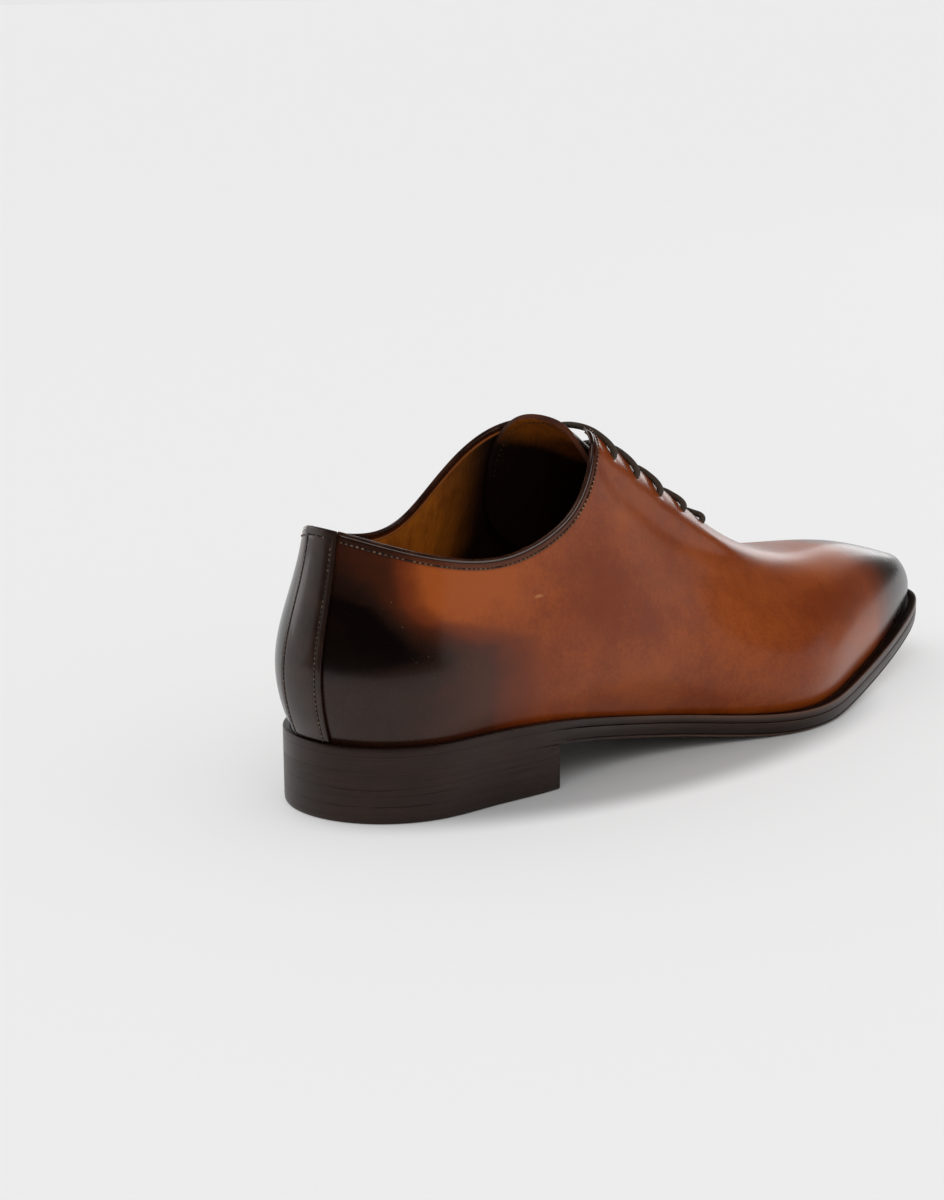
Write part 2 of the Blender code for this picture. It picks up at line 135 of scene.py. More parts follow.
class Crease(NamedTuple):
    """A fine crease below the collar: its middle, length and depth."""

    x: float
    z: float
    length: float
    depth: float


# Thicknesses
FIT = 0.3
WALL = 1.8
WELT = 2.5
OUTSOLE = 5.0
INSOLE = 2.6
STRIP_HALF_WIDTH = 9.5

# Throat between the facings, and how full the ridge is
THROAT_FIRST_X = 100.0
FACING_X = 118.0
THROAT_END_X = 182.0
CREST = 1.4

SECTIONS = (
    Section("heel back", 34, 0, 180),
    Section("heel turn", 36, 0, 148),
    Section("heel bend", 42, 0, 118),
    Section("heel side", 54, 0, 98),
    Section("breast", 77, 0, 90),
    Section("waist", 110, 1, 90),
    Section("instep", 148, 2, 90),
    Section("ball", 186, 4, 90),
    Section("vamp", 218, 5, 90),
    Section("toe root", 248, 6.5, 87),
    Section("toe side", 272, 8.5, 70),
    Section("toe corner", 285, 10, 38),
    Section("toe tip", 288, 11, 0),
)
TOE = len(SECTIONS) - 1
ROUND = 2 * TOE
BREAST = 4

LATERAL = (
    Side(34.0, 3.5, 5.5, 22, 26.0, 91),
    Side(35.6, 3.5, 5.5, 22, 27.5, 89),
    Side(36.7, 3.5, 5.0, 22, 30.0, 85),
    Side(34.6, 3.5, 5.0, 22, 31.0, 81),
    Side(35.3, 4.0, 5.5, 22, 31.5, 80),
    Side(33.0, 3.8, 9.3, 22, 28.0, 84),
    Side(38.3, 4.2, 7.2, 20, 26.0, 66),
    Side(50.2, 5.2, 5.2, 16, 31.0, 48),
    Side(44.5, 5.5, 4.0, 14, 31.0, 43),
    Side(33.2, 5.5, 3.0, 12, 23.0, 42),
    Side(23.2, 5.5, 2.5, 10, 14.5, 40.5),
    Side(19.5, 5.5, 2.0, 9, 11.0, 38.0),
    Side(22.0, 5.5, 2.0, 9, 12.5, 36.5),
)

MEDIAL = (
    Side(34.0, 3.5, 5.5, 22, 26.0, 91),
    Side(35.6, 3.5, 5.5, 22, 27.5, 89),
    Side(36.5, 3.5, 5.0, 22, 30.0, 86),
    Side(33.6, 3.5, 5.0, 22, 31.0, 83),
    Side(31.8, 4.0, 6.5, 22, 30.5, 84),
    Side(24.0, 3.8, 10.8, 24, 25.0, 90),
    Side(31.0, 4.2, 7.2, 24, 23.0, 70),
    Side(50.0, 5.2, 4.2, 16, 30.0, 50),
    Side(51.0, 5.5, 3.0, 14, 34.0, 44),
    Side(37.5, 5.5, 2.5, 12, 25.0, 42),
    Side(26.0, 5.5, 2.0, 10, 16.0, 40.5),
    Side(23.0, 5.5, 2.0, 9, 13.5, 38.0),
    Side(22.0, 5.5, 2.0, 9, 12.5, 36.5),
)

LIP = (
    Height(0, 25.0),
    Height(40, 24.4),
    Height(77, 22.8),
    Height(108, 17.8),
    Height(140, 12.6),
    Height(165, 9.0),
    Height(190, 7.5),
    Height(215, 8.5),
    Height(245, 11.8),
    Height(275, 16.2),
    Height(310, 22.4),
)

RIDGE = (
    Height(34, 150),
    Height(54, 146),
    Height(77, 137.5),
    Height(110, 117.3),
    Height(148, 91.2),
    Height(186, 65.6),
    Height(218, 53.5),
    Height(248, 50.5),
    Height(272, 46.0),
    Height(288, 41),
)

TOPLINE = (
    Collar(6, 91.0, 91.0),
    Collar(16, 86.7, 86.7),
    Collar(28, 82.7, 82.7),
    Collar(42, 79.5, 79.2),
    Collar(56, 78.4, 77.6),
    Collar(70, 80.4, 82.0),
    Collar(82, 84.2, 92.4),
    Collar(92, 89.4, 101.8),
    Collar(101, 97.2, 108.2),
    Collar(109, 105.4, 111.4),
    Collar(118, 111.0, 113.0),
)

THROAT = (
    Width(FACING_X, 7.0),
    Width(150, 4.6),
    Width(174, 1.8),
    Width(THROAT_END_X, 0.0),
)

HEEL_BURNISH = (
    Tone(30, (-80, 12, 46, 60, 76)),
    Tone(42, (-80, 14, 46, 60, 75)),
    Tone(48, (-10, 24, 46, 59, 74)),
    Tone(53, (16, 27, 43, 57, 72)),
    Tone(58, (14, 20, 30, 41, 60)),
    Tone(64, (12, 15, 19, 24, 35)),
    Tone(69, (9, 12.5, 16, 19.5, 28)),
    Tone(76, (-14, 9, 16, 20, 27)),
    Tone(84, (-30, 0, 17, 20.5, 27)),
)
TOE_BURNISH = (287, 273, 262, 252, 238)

# Soft clouds of tone on the leather; the first, high on the heel's quarter, is a painted pool of light where
# the key light falls
PATINA_AND_LIGHT = (
    Cloud(0.8, 44, 26, 73, 11),
    Cloud(0.26, 150, 40, 48, 16),
    Cloud(0.3, 236, 22, 22, 9),
    Cloud(-0.24, 96, 17, 66, 16),
    Cloud(-0.2, 120, 14, 50, 8),
    Cloud(0.2, 116, 16, 30, 7),
    Cloud(-0.22, 184, 16, 27, 8),
    Cloud(0.26, 113, 9, 83, 9),
    Cloud(0.2, 160, 12, 61, 8),
    Cloud(-0.32, 222, 26, 37, 7),
)

CREASES = (
    Crease(22.0, 78.6, 6.0, 0.16),
    Crease(24.5, 76.4, 7.5, 0.2),
    Crease(28.0, 74.5, 6.0, 0.13),
)

TONGUE_OUTLINE = (
    (128, -24), (118, -23.4), (112, -21.6), (109, -18.4), (107.6, -14), (107.8, -8), (107.8, -2), (107.1, 4),
    (106, 10), (104.5, 15.5), (102.6, 20), (100.9, 23), (100.2, 25.8), (101.6, 28), (106, 29.4), (118, 29.6),
)


# Form of the last

class Spline:
    """Cubic spline through rows of values, with natural ends or given end slopes."""

    def __init__(
            self, places: Sequence[float], rows: np.ndarray,
            start: Optional[np.ndarray] = None, end: Optional[np.ndarray] = None) -> None:
        """Solve for the bends at the places.

        Args:
            places: Where each row holds, rising.
            rows: One row of values for each place.
            start: Slope at the first place, or None for a natural end.
            end: Slope at the last place, or None for a natural end.
        """
        self.places = np.asarray(places, float)
        self.rows = np.asarray(rows, float).reshape(len(self.places), -1)
        steps = np.diff(self.places)
        rises = np.diff(self.rows, axis=0) / steps[:, None]
        matrix = np.eye(len(self.places))
        target = np.zeros_like(self.rows)
        for i in range(1, len(steps)):
            matrix[i, i - 1:i + 2] = steps[i - 1], 2 * (steps[i - 1] + steps[i]), steps[i]
            target[i] = 6 * (rises[i] - rises[i - 1])
        if start is not None:
            matrix[0, :2] = 2 * steps[0], steps[0]
            target[0] = 6 * (rises[0] - start)
        if end is not None:
            matrix[-1, -2:] = steps[-1], 2 * steps[-1]
            target[-1] = 6 * (end - rises[-1])
        self.bends = np.linalg.solve(matrix, target)

    def at(self, place: Numbers) -> np.ndarray:
        """Rows of values at one or more places.

        Args:
            place: The places.

        Returns:
            One row for each place.
        """
        place = np.atleast_1d(np.asarray(place, float))
        i = np.clip(np.searchsorted(self.places, place) - 1, 0, len(self.places) - 2)
        step = (self.places[i + 1] - self.places[i])[:, None]
        part = (place - self.places[i])[:, None]
        low, high = self.bends[i], self.bends[i + 1]
        slope = (self.rows[i + 1] - self.rows[i]) / step - step * (2 * low + high) / 6
        return self.rows[i] + part * (slope + part * (low / 2 + part * (high - low) / (6 * step)))


class Profile:
    """A smooth height along the shoe."""

    def __init__(self, rows: Sequence) -> None:
        """Fit a spline through rows that start with their place."""
        self.spline = Spline([row[0] for row in rows], np.array([row[1:] for row in rows]))

    def at(self, x: float, column: int = 0) -> float:
        """Height at x."""
        return float(self.spline.at(x)[0, column])

    def slope(self, x: float) -> float:
        """Rise for each millimetre at x."""
        return self.at(x + 0.5) - self.at(x - 0.5)


LIP_LINE = Profile(LIP)
RIDGE_LINE = Profile(RIDGE)
COLLAR_LINE = Profile(TOPLINE)


def outsole_top(x: float) -> float:
    """Height of the outsole's upper face."""
    return LIP_LINE.at(x) - WELT - FIT


def outsole_bottom(x: float) -> float:
    """Height of the outsole's lower face, flat on the floor under the ball."""
    return max(outsole_top(x) - OUTSOLE, 0.0)


def insole_bottom(x: float) -> float:
    """Height of the insole's lower face."""
    return outsole_top(x) + FIT


def insole_top(x: float) -> float:
    """Height of the insole's upper face."""
    return insole_bottom(x) + INSOLE


def half_width(rows: Sequence[Width], x: float) -> float:
    """Half width at x on straight lines between the rows."""
    return float(np.interp(x, [row.x for row in rows], [row.half for row in rows]))


def soft_step(value: Numbers, low: float, high: float) -> np.ndarray:
    """0 at low and 1 at high, with a smooth rise between."""
    share = np.clip((np.asarray(value, float) - low) / (high - low), 0.0, 1.0)
    return share * share * (3.0 - 2.0 * share)


def soft_least(one: float, other: float, blend: float = 0.003) -> float:
    """The lesser of two numbers, rounded off where they are nearly the same."""
    return min(one, other) - blend * float(np.log1p(np.exp(-abs(one - other) / blend)))


def hump(value: Numbers, middle: float, spread: float) -> np.ndarray:
    """1 at the middle, falling off as a bell."""
    return np.exp(-((np.asarray(value, float) - middle) / spread) ** 2)


def run_along(points: np.ndarray) -> np.ndarray:
    """Length along a line at each of its points."""
    return np.concatenate([[0.0], np.cumsum(np.linalg.norm(np.diff(points, axis=0), axis=1))])


class Cut:
    """The outside of the upper in one upright half plane."""

    FOOT_ENDS = 0.3
    COLLAR_STARTS = 0.2
    FLANK_STARTS = 0.4

    def __init__(self, values: np.ndarray) -> None:
        """Draw the half section.

        Args:
            values: Its stand and turn, and the sizes of its side.
        """
        x, y, turn, edge, margin, bulge, belly, flank, flank_height = values
        self.base = np.array([x, y])
        self.way = np.array([cos(radians(turn)), -sin(radians(turn))])
        self.edge = edge
        self.feather = edge - margin
        low = outsole_top(self.plan(self.feather)[0]) + FIT
        knots = np.array([
            [self.feather, low],
            [self.feather + bulge, low + belly],
            [flank, flank_height],
            [0.0, RIDGE_LINE.at(x)],
        ])
        lengths = run_along(knots)
        total = lengths[-1]
        start = np.array([2 * bulge, belly])
        end = np.array([-1.0, -RIDGE_LINE.slope(x) * self.way[0]])
        start *= total / np.linalg.norm(start)
        self.curve = Spline(lengths / total, knots, start, end * total * CREST)
        self.scan = np.linspace(0.0, 1.0, 401)
        self.scanned = self.curve.at(self.scan)
        self.run = run_along(self.scanned)

    def plan(self, reach: float) -> np.ndarray:
        """Point in plan at a reach from the section's stand."""
        return self.base + reach * self.way

    def points(self, t: Numbers) -> np.ndarray:
        """Points at shares t of the way from the feather line to the ridge."""
        reach, height = self.curve.at(t).T
        return np.column_stack([self.base + reach[:, None] * self.way, height])

    def at_reach(self, reach: float) -> float:
        """Share of the way where the flank has come in to a reach."""
        upper = self.scan > self.FLANK_STARTS
        return float(np.interp(-reach, -self.scanned[upper, 0], self.scan[upper]))

    def at_height(self, height: float) -> float:
        """Share of the way where the wall has come up to a height near its foot."""
        lower = self.scan < self.FOOT_ENDS
        return float(np.interp(height, self.scanned[lower, 1], self.scan[lower]))

    def at_topline(self, column: int) -> float:
        """Share of the way where the wall crosses the collar's edge.

        Args:
            column: 0 for the outer side's edge, 1 for the inner side's.

        Returns:
            The share, or 1 where the wall stays below that edge.
        """
        points = self.points(self.scan)
        over = points[:, 2] - COLLAR_LINE.spline.at(points[:, 0])[:, column]
        above = (over >= 0) & (self.scan > self.COLLAR_STARTS)
        if not above.any():
            return 1.0
        first = int(np.argmax(above))
        return float(np.interp(0.0, over[first - 1:first + 1], self.scan[first - 1:first + 1]))


class Last:
    """The whole form, with stations 0 at the heel's back, up the outer side to the toe, and back inside."""

    def __init__(self) -> None:
        """Fit a closed spline through the sections' values."""
        rows = [(s.x, s.y, s.turn, *side) for s, side in zip(SECTIONS, LATERAL)]
        back = [(s.x, s.y, -s.turn, *side) for s, side in zip(SECTIONS, MEDIAL)]
        rows = np.array(rows + back[-2:0:-1])
        rows[:, 2] -= self.trend(np.arange(ROUND))
        places = np.arange(-TOE, ROUND + TOE)
        self.spline = Spline(places, rows[places % ROUND])
        stations = np.linspace(0, TOE, 1201)
        self.plan = (self.spline.at(stations)[:, 0], stations)

    @staticmethod
    def trend(station: Numbers) -> Numbers:
        """The turn that a section would have if all were spread evenly."""
        return 180.0 - 360.0 * station / ROUND

    @lru_cache(maxsize=None)
    def cut(self, station: float) -> Cut:
        """The section at a station.

        Args:
            station: Where it stands round the shoe.

        Returns:
            The section.
        """
        station = station % ROUND
        values = self.spline.at(station)[0]
        values[2] += self.trend(station)
        return Cut(values)

    def station(self, x: float, medial: bool = False) -> float:
        """Station whose section stands at x."""
        found = round(float(np.interp(x, *self.plan)), 4)
        return ROUND - found if medial else found

    def outer(self, station: float, t: float) -> np.ndarray:
        """Point on the outside of the upper."""
        return self.cut(station).points(t)[0]

    def upward(self, station: float, t: float) -> np.ndarray:
        """Unit way up along the wall."""
        way = self.outer(station, t + 0.004) - self.outer(station, t - 0.004)
        return way / np.linalg.norm(way)

    def normal(self, station: float, t: float) -> np.ndarray:
        """Unit way out of the wall.

        Args:
            station: The section's station.
            t: Share of the way up the section.

        Returns:
            The way.
        """
        forward = self.outer(station + 0.02, t) - self.outer(station - 0.02, t)
        out = np.cross(forward, self.upward(station, t))
        return out / np.linalg.norm(out)

    def beside(self, station: float, t: float, offset: float) -> np.ndarray:
        """Point at an offset out of the upper's outside."""
        return self.outer(station, t) + offset * self.normal(station, t)

    def across(self, x: float, reach: float, offset: float) -> np.ndarray:
        """Point over or under the instep, with reach below zero on the outer side."""
        station = self.station(x, reach > 0)
        return self.beside(station, self.cut(station).at_reach(abs(reach)), offset)

    def rim(self, station: float) -> float:
        """Share of the way up to the upper's edge at collar, throat or ridge.

        Args:
            station: The section's station.

        Returns:
            The share.
        """
        cut = self.cut(station)
        x = cut.base[0]
        if x >= THROAT_END_X:
            return 1.0
        throat = cut.at_reach(half_width(THROAT, x)) if x > THROAT_FIRST_X else 1.0
        if x > FACING_X + 5.0:
            return throat
        return soft_least(throat, cut.at_topline(int(station % ROUND > TOE)))

    def facing(self, medial: bool) -> float:
        """Station of a facing's top corner, where collar and throat meet.

        Args:
            medial: Whether it is the inner side's.

        Returns:
            The station.
        """
        for x in np.arange(FACING_X, TOPLINE[-3].x, -0.25):
            cut = self.cut(self.station(x, medial))
            if cut.at_topline(int(medial)) < cut.at_reach(half_width(THROAT, x)):
                break
        return self.station(x, medial)


LAST = Last()


def strip_station() -> float:
    """Station at the edge of the back strip."""
    wide = STRIP_HALF_WIDTH / (SECTIONS[0].x + 2.0)
    return float(np.degrees(wide) / (SECTIONS[0].turn - SECTIONS[1].turn))


class Rim:
    """The upper's edge on one side, measured along its length from the heel's back to the throat's end."""

    def __init__(self, medial: bool) -> None:
        """Find the edge's points, closest round the facing's corner, and the ways out of the wall there.

        Args:
            medial: Whether it is the inner side's.
        """
        end = LAST.station(THROAT_END_X)
        wide, close = 0.02, 0.004
        first, last = 4.6, 5.4
        self.stations = np.round(np.concatenate([
            np.arange(0, first, wide), np.arange(first, last, close), np.arange(last, end, wide), [end]]), 5)
        places = [float((ROUND - s) % ROUND if medial else s) for s in self.stations]
        self.side = -1.0 if medial else 1.0
        self.points = np.array([LAST.outer(place, LAST.rim(place)) for place in places])
        self.normals = np.array([LAST.normal(place, LAST.rim(place)) for place in places])
        self.run = run_along(self.points)
        self.length = float(self.run[-1])
        corner = LAST.facing(medial)
        self.corner = self.run_at(ROUND - corner if medial else corner)

    def run_at(self, station: float) -> float:
        """Length along the edge at a station counted from the heel's back."""
        return float(np.interp(station, self.stations, self.run))

    def line(self, first: float, last: float, inset: float, offset: float, step: float = 0.5) -> np.ndarray:
        """A line along the edge.

        Args:
            first: Length along the edge where it starts.
            last: Length along the edge where it ends.
            inset: How far below the edge it runs, square to it.
            offset: How far out of the upper's outside it lies.
            step: Length between its points.

        Returns:
            Its points.
        """
        runs = np.arange(first, last, step)
        points = np.column_stack([np.interp(runs, self.run, part) for part in self.points.T])
        normals = np.column_stack([np.interp(runs, self.run, part) for part in self.normals.T])
        off = self.side * np.cross(normals, np.gradient(points, axis=0))
        off /= np.linalg.norm(off, axis=1)[:, None]
        return points + offset * normals - inset * off


# Mesh making

def row_frame(points: np.ndarray) -> np.ndarray:
    """Points of the last's frame in millimetres, as points of the row's frame in metres."""
    return (np.asarray(points, float) - MIDDLE) * MM


def grid_mesh(
        name: str, points: np.ndarray, values: Optional[Mapping[str, np.ndarray]] = None,
        uv: Optional[np.ndarray] = None) -> bpy.types.Mesh:
    """A smooth sheet over a grid of points, welded where its points meet.

    Args:
        name: The mesh's name.
        points: Grid of points in the last's frame, with its faces out where columns by rows point out.
        values: Numbers for each point, kept as the mesh's attributes, or None.
        uv: Two numbers for each point, kept as the mesh's UV map, or None.

    Returns:
        The mesh.
    """
    columns, rows = points.shape[:2]
    index = np.arange(columns * rows).reshape(columns, rows)
    faces = np.stack([index[:-1, :-1], index[1:, :-1], index[1:, 1:], index[:-1, 1:]], -1).reshape(-1, 4)
    mesh = bpy.data.meshes.new(name)
    mesh.from_pydata(row_frame(points.reshape(-1, 3)).tolist(), [], faces.tolist())
    for key, value in (values or {}).items():
        attribute = mesh.attributes.new(key, "FLOAT", "POINT")
        attribute.data.foreach_set("value", np.ascontiguousarray(value, np.float32).ravel())
    if uv is not None:
        layer = mesh.uv_layers.new(name="UVMap")
        layer.data.foreach_set("uv", np.asarray(uv, np.float32).reshape(-1, 2)[faces.ravel()].ravel())
    weld(mesh)
    mesh.shade_smooth()
    return mesh


def weld(mesh: bpy.types.Mesh, closed: bool = False) -> None:
    """Merge a mesh's doubled points, and close and turn out a body's faces.

    Args:
        mesh: The mesh to change.
        closed: Whether it is a body, whose open ends are then filled.
    """
    work = bmesh.new()
    work.from_mesh(mesh)
    bmesh.ops.remove_doubles(work, verts=work.verts, dist=WELD)
    bmesh.ops.dissolve_degenerate(work, edges=work.edges, dist=WELD)
    if closed:
        open_edges = [edge for edge in work.edges if edge.is_boundary]
        if open_edges:
            bmesh.ops.holes_fill(work, edges=open_edges)
        bmesh.ops.recalc_face_normals(work, faces=work.faces)
    work.to_mesh(mesh)
    work.free()


def even_tip(mesh: bpy.types.Mesh, reach: float = 7.0, rounds: int = 40) -> None:
    """Even out a sheet where its ridge ends at the toe.

    Args:
        mesh: The sheet to change.
        reach: How far from the ridge's end it is changed.
        rounds: How often it is evened.
    """
    tip = Vector(row_frame(LAST.outer(float(TOE), 1.0)))
    work = bmesh.new()
    work.from_mesh(mesh)
    near = [vertex for vertex in work.verts if (vertex.co - tip).length < reach * MM]
    for _ in range(rounds):
        bmesh.ops.smooth_vert(
            work, verts=near, factor=0.5, use_axis_x=True, use_axis_y=True, use_axis_z=True)
    work.to_mesh(mesh)
    work.free()


def tube_mesh(name: str, path: np.ndarray, radius: float, sides: int, point: float = 0.0) -> bpy.types.Mesh:
    """A round cord along a path, with a UV map of the run along it and the turn round it, in millimetres.

    Args:
        name: The mesh's name.
        path: Points of its middle line.
        radius: Its radius.
        sides: Faces round it.
        point: Length over which its far end gets thin.

    Returns:
        The closed mesh.
    """
    thin, crown = 0.4, 0.3 * radius
    path = np.asarray(path, float)
    ways = np.gradient(path, axis=0)
    ways /= np.linalg.norm(ways, axis=1)[:, None]
    beside = np.cross(ways[0], (0.0, 0.3, 1.0))
    turn = np.linspace(0.0, 2 * pi, sides + 1)
    run = run_along(path)
    rings = [np.repeat(path[:1] - crown * ways[0], sides + 1, 0)]
    for place, middle, way in zip(run, path, ways):
        beside = beside - way * beside.dot(way)
        beside /= np.linalg.norm(beside)
        ring = np.outer(np.cos(turn), beside) + np.outer(np.sin(turn), np.cross(way, beside))
        fine = 1.0 if point <= 0.0 else thin + (1.0 - thin) * float(soft_step(run[-1] - place, 0.0, point))
        rings.append(middle + fine * radius * ring)
    rings.append(np.repeat(path[-1:] + crown * ways[-1], sides + 1, 0))
    along = np.concatenate([run[:1], run, run[-1:]])
    uv = np.stack(np.meshgrid(along, turn * radius, indexing="ij"), -1)
    mesh = grid_mesh(name, np.array(rings), uv=uv)
    weld(mesh, closed=True)
    return mesh


def smooth_path(points: Sequence[np.ndarray], step: float) -> np.ndarray:
    """A smooth curve through points, with its own points a step apart.

    Args:
        points: Points that it goes through.
        step: Length between its own points.

    Returns:
        Its own points.
    """
    points = np.asarray(points, float)
    run = run_along(points)
    count = max(int(run[-1] / step), 2)
    return Spline(run, points).at(np.linspace(0.0, run[-1], count + 1))


def maker(name: str, mesh: bpy.types.Mesh) -> bpy.types.Object:
    """An object in the scene for modifiers to work on.

    Args:
        name: Its name.
        mesh: Its mesh.

    Returns:
        The object.
    """
    thing = bpy.data.objects.new(name, mesh)
    bpy.context.scene.collection.objects.link(thing)
    return thing


def settled(thing: bpy.types.Object) -> bpy.types.Mesh:
    """The plain mesh of an object with its modifiers.

    Args:
        thing: The object, which is removed.

    Returns:
        The mesh.
    """
    graph = bpy.context.evaluated_depsgraph_get()
    mesh = bpy.data.meshes.new_from_object(
        thing.evaluated_get(graph), preserve_all_data_layers=True, depsgraph=graph)
    mesh.name = thing.name
    bpy.data.objects.remove(thing)
    return mesh


def add_wall(thing: bpy.types.Object, thickness: float, outward: bool, inner: int = 0, rim: int = 0) -> None:
    """Give an open sheet a thickness.

    Args:
        thing: The object to change.
        thickness: The wall's thickness.
        outward: Whether it grows out of the sheet's faces, or in.
        inner: Steps up the material slots for the far side.
        rim: Steps up the material slots for the rim.
    """
    solid = thing.modifiers.new("wall", "SOLIDIFY")
    solid.thickness = thickness * MM
    solid.offset = 1.0 if outward else -1.0
    solid.material_offset = inner
    solid.material_offset_rim = rim


def add_round(thing: bpy.types.Object, width: float, segments: int = 2) -> None:
    """Round an object's sharp edges.

    Args:
        thing: The object to change.
        width: Width of the rounding.
        segments: Faces across the rounding.
    """
    bevel = thing.modifiers.new("round", "BEVEL")
    bevel.limit_method = "ANGLE"
    bevel.angle_limit = radians(50)
    bevel.width = width * MM
    bevel.segments = segments


def add_piece(name: str, mesh: bpy.types.Mesh, nodes: Sequence[str] = ()) -> bpy.types.Object:
    """Put a finished mesh on the shoe's one body.

    Args:
        name: The piece's name.
        mesh: Its mesh, with its materials.
        nodes: Solids that it stands for.

    Returns:
        The piece.
    """
    mesh.name = name
    piece = bpy.data.objects.new(name, mesh)
    bpy.context.scene.collection.objects.link(piece)
    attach(piece, BODY)
    if nodes:
        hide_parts(*nodes)
    LOG.info("%s: %d faces", name, len(mesh.polygons))
    return piece


# Shader making

class Value:
    """An output socket whose arithmetic adds Math nodes to its tree."""

    def __init__(self, tree: "ShaderTree", socket: bpy.types.NodeSocket) -> None:
        """Keep the socket and its tree."""
        self.tree = tree
        self.socket = socket

    def math(self, operation: str, left: "Feed", right: "Feed" = 0.0) -> "Value":
        """A Math node on two numbers."""
        return self.tree.add("ShaderNodeMath", {"operation": operation}, {0: left, 1: right})

    def __add__(self, other: "Feed") -> "Value":
        """The sum."""
        return self.math("ADD", self, other)

    __radd__ = __add__

    def __sub__(self, other: "Feed") -> "Value":
        """The difference."""
        return self.math("SUBTRACT", self, other)

    def __rsub__(self, other: "Feed") -> "Value":
        """The difference from a number."""
        return self.math("SUBTRACT", other, self)

    def __mul__(self, other: "Feed") -> "Value":
        """The product."""
        return self.math("MULTIPLY", self, other)

    __rmul__ = __mul__

    def __truediv__(self, other: "Feed") -> "Value":
        """The quotient."""
        return self.math("DIVIDE", self, other)

    def __pow__(self, other: "Feed") -> "Value":
        """The power."""
        return self.math("POWER", self, other)

    def wave(self) -> "Value":
        """The sine."""
        return self.math("SINE", self)

    def size(self) -> "Value":
        """The number without its sign."""
        return self.math("ABSOLUTE", self)

    def most(self, other: "Feed") -> "Value":
        """The greater of two numbers."""
        return self.math("MAXIMUM", self, other)

    def step(self, low: float, high: float) -> "Value":
        """0 at low and 1 at high, with a smooth rise between."""
        values = {"Value": self, "From Min": low, "From Max": high}
        return self.tree.add("ShaderNodeMapRange", {"interpolation_type": "SMOOTHSTEP"}, values)


Feed = Union[Value, float, Sequence[float]]


class ShaderTree:
    """A material's nodes, ending in one Principled shader."""

    def __init__(self, name: str) -> None:
        """Start a material.

        Args:
            name: The material's name.
        """
        self.material = bpy.data.materials.new(name)
        self.material.use_nodes = True
        self.nodes = self.material.node_tree.nodes
        self.links = self.material.node_tree.links
        self.shader = self.nodes["Principled BSDF"]

    def feed(self, socket: bpy.types.NodeSocket, value: Feed) -> None:
        """Link a value to a socket, or set a number on it.

        Args:
            socket: The input socket.
            value: A value to link, or a number, vector or colour to set.
        """
        if isinstance(value, Value):
            self.links.new(value.socket, socket)
        elif isinstance(value, (int, float)):
            socket.default_value = value
        else:
            short = len(socket.default_value) - len(value)
            socket.default_value = (*value, *(1.0,) * short)

    def add(self, kind: str, settings: Mapping, values: Mapping, out: Union[int, str] = 0) -> Value:
        """Add a node.

        Args:
            kind: The node's type.
            settings: Its properties, which are set first.
            values: Numbers or links for its sockets, by name or number.
            out: The output wanted, by name or number.

        Returns:
            The output.
        """
        node = self.nodes.new(kind)
        for key, setting in settings.items():
            setattr(node, key, setting)
        for key, value in values.items():
            self.feed(node.inputs[key], value)
        return Value(self, node.outputs[out])

    def place(self) -> Value:
        """Object coordinates, in metres."""
        return self.add("ShaderNodeTexCoord", {}, {}, "Object")

    def axes(self, vector: Value) -> tuple[Value, Value, Value]:
        """The three parts of a vector.

        Args:
            vector: The vector.

        Returns:
            Its x, y and z.
        """
        node = self.nodes.new("ShaderNodeSeparateXYZ")
        self.feed(node.inputs[0], vector)
        return tuple(Value(self, output) for output in node.outputs)

    def spread(self, vector: Value, scale: Sequence[float]) -> Value:
        """A vector with its parts scaled."""
        return self.add("ShaderNodeMapping", {}, {"Vector": vector, "Scale": scale})

    def noise(self, vector: Value, scale: float, detail: float = 3.0, rough: float = 0.5) -> Value:
        """Cloudy noise round one half."""
        values = {"Vector": vector, "Scale": scale, "Detail": detail, "Roughness": rough}
        return self.add("ShaderNodeTexNoise", {}, values)

    def cells(self, vector: Value, scale: float, out: str = "Distance") -> Value:
        """Distance from the middles of irregular cells, or another of their outputs."""
        return self.add("ShaderNodeTexVoronoi", {}, {"Vector": vector, "Scale": scale}, out)

    def mark(self, name: str) -> Value:
        """One of the mesh's own attributes."""
        return self.add("ShaderNodeAttribute", {"attribute_name": name}, {}, "Fac")

    def blend(self, share: Feed, low: Feed, high: Feed) -> Value:
        """A colour between two."""
        return self.add("ShaderNodeMix", {"data_type": "RGBA"}, {0: share, 6: low, 7: high}, 2)

    def bump(self, height: Value, depth: float, under: Optional[Value] = None) -> Value:
        """A normal bent by a height.

        Args:
            height: The height, from 0 to 1.
            depth: Millimetres from the lowest to the highest.
            under: A normal that is bent further, or None.

        Returns:
            The normal.
        """
        values = {"Height": height, "Strength": 1.0, "Distance": depth * MM}
        if under is not None:
            values["Normal"] = under
        return self.add("ShaderNodeBump", {}, values)

    def dress(self, **values: Feed) -> bpy.types.Material:
        """Set the shader's sockets.

        Args:
            values: Values for the sockets, named with underscores for spaces.

        Returns:
            The material.
        """
        for key, value in values.items():
            self.feed(self.shader.inputs[key.replace("_", " ")], value)
        return self.material


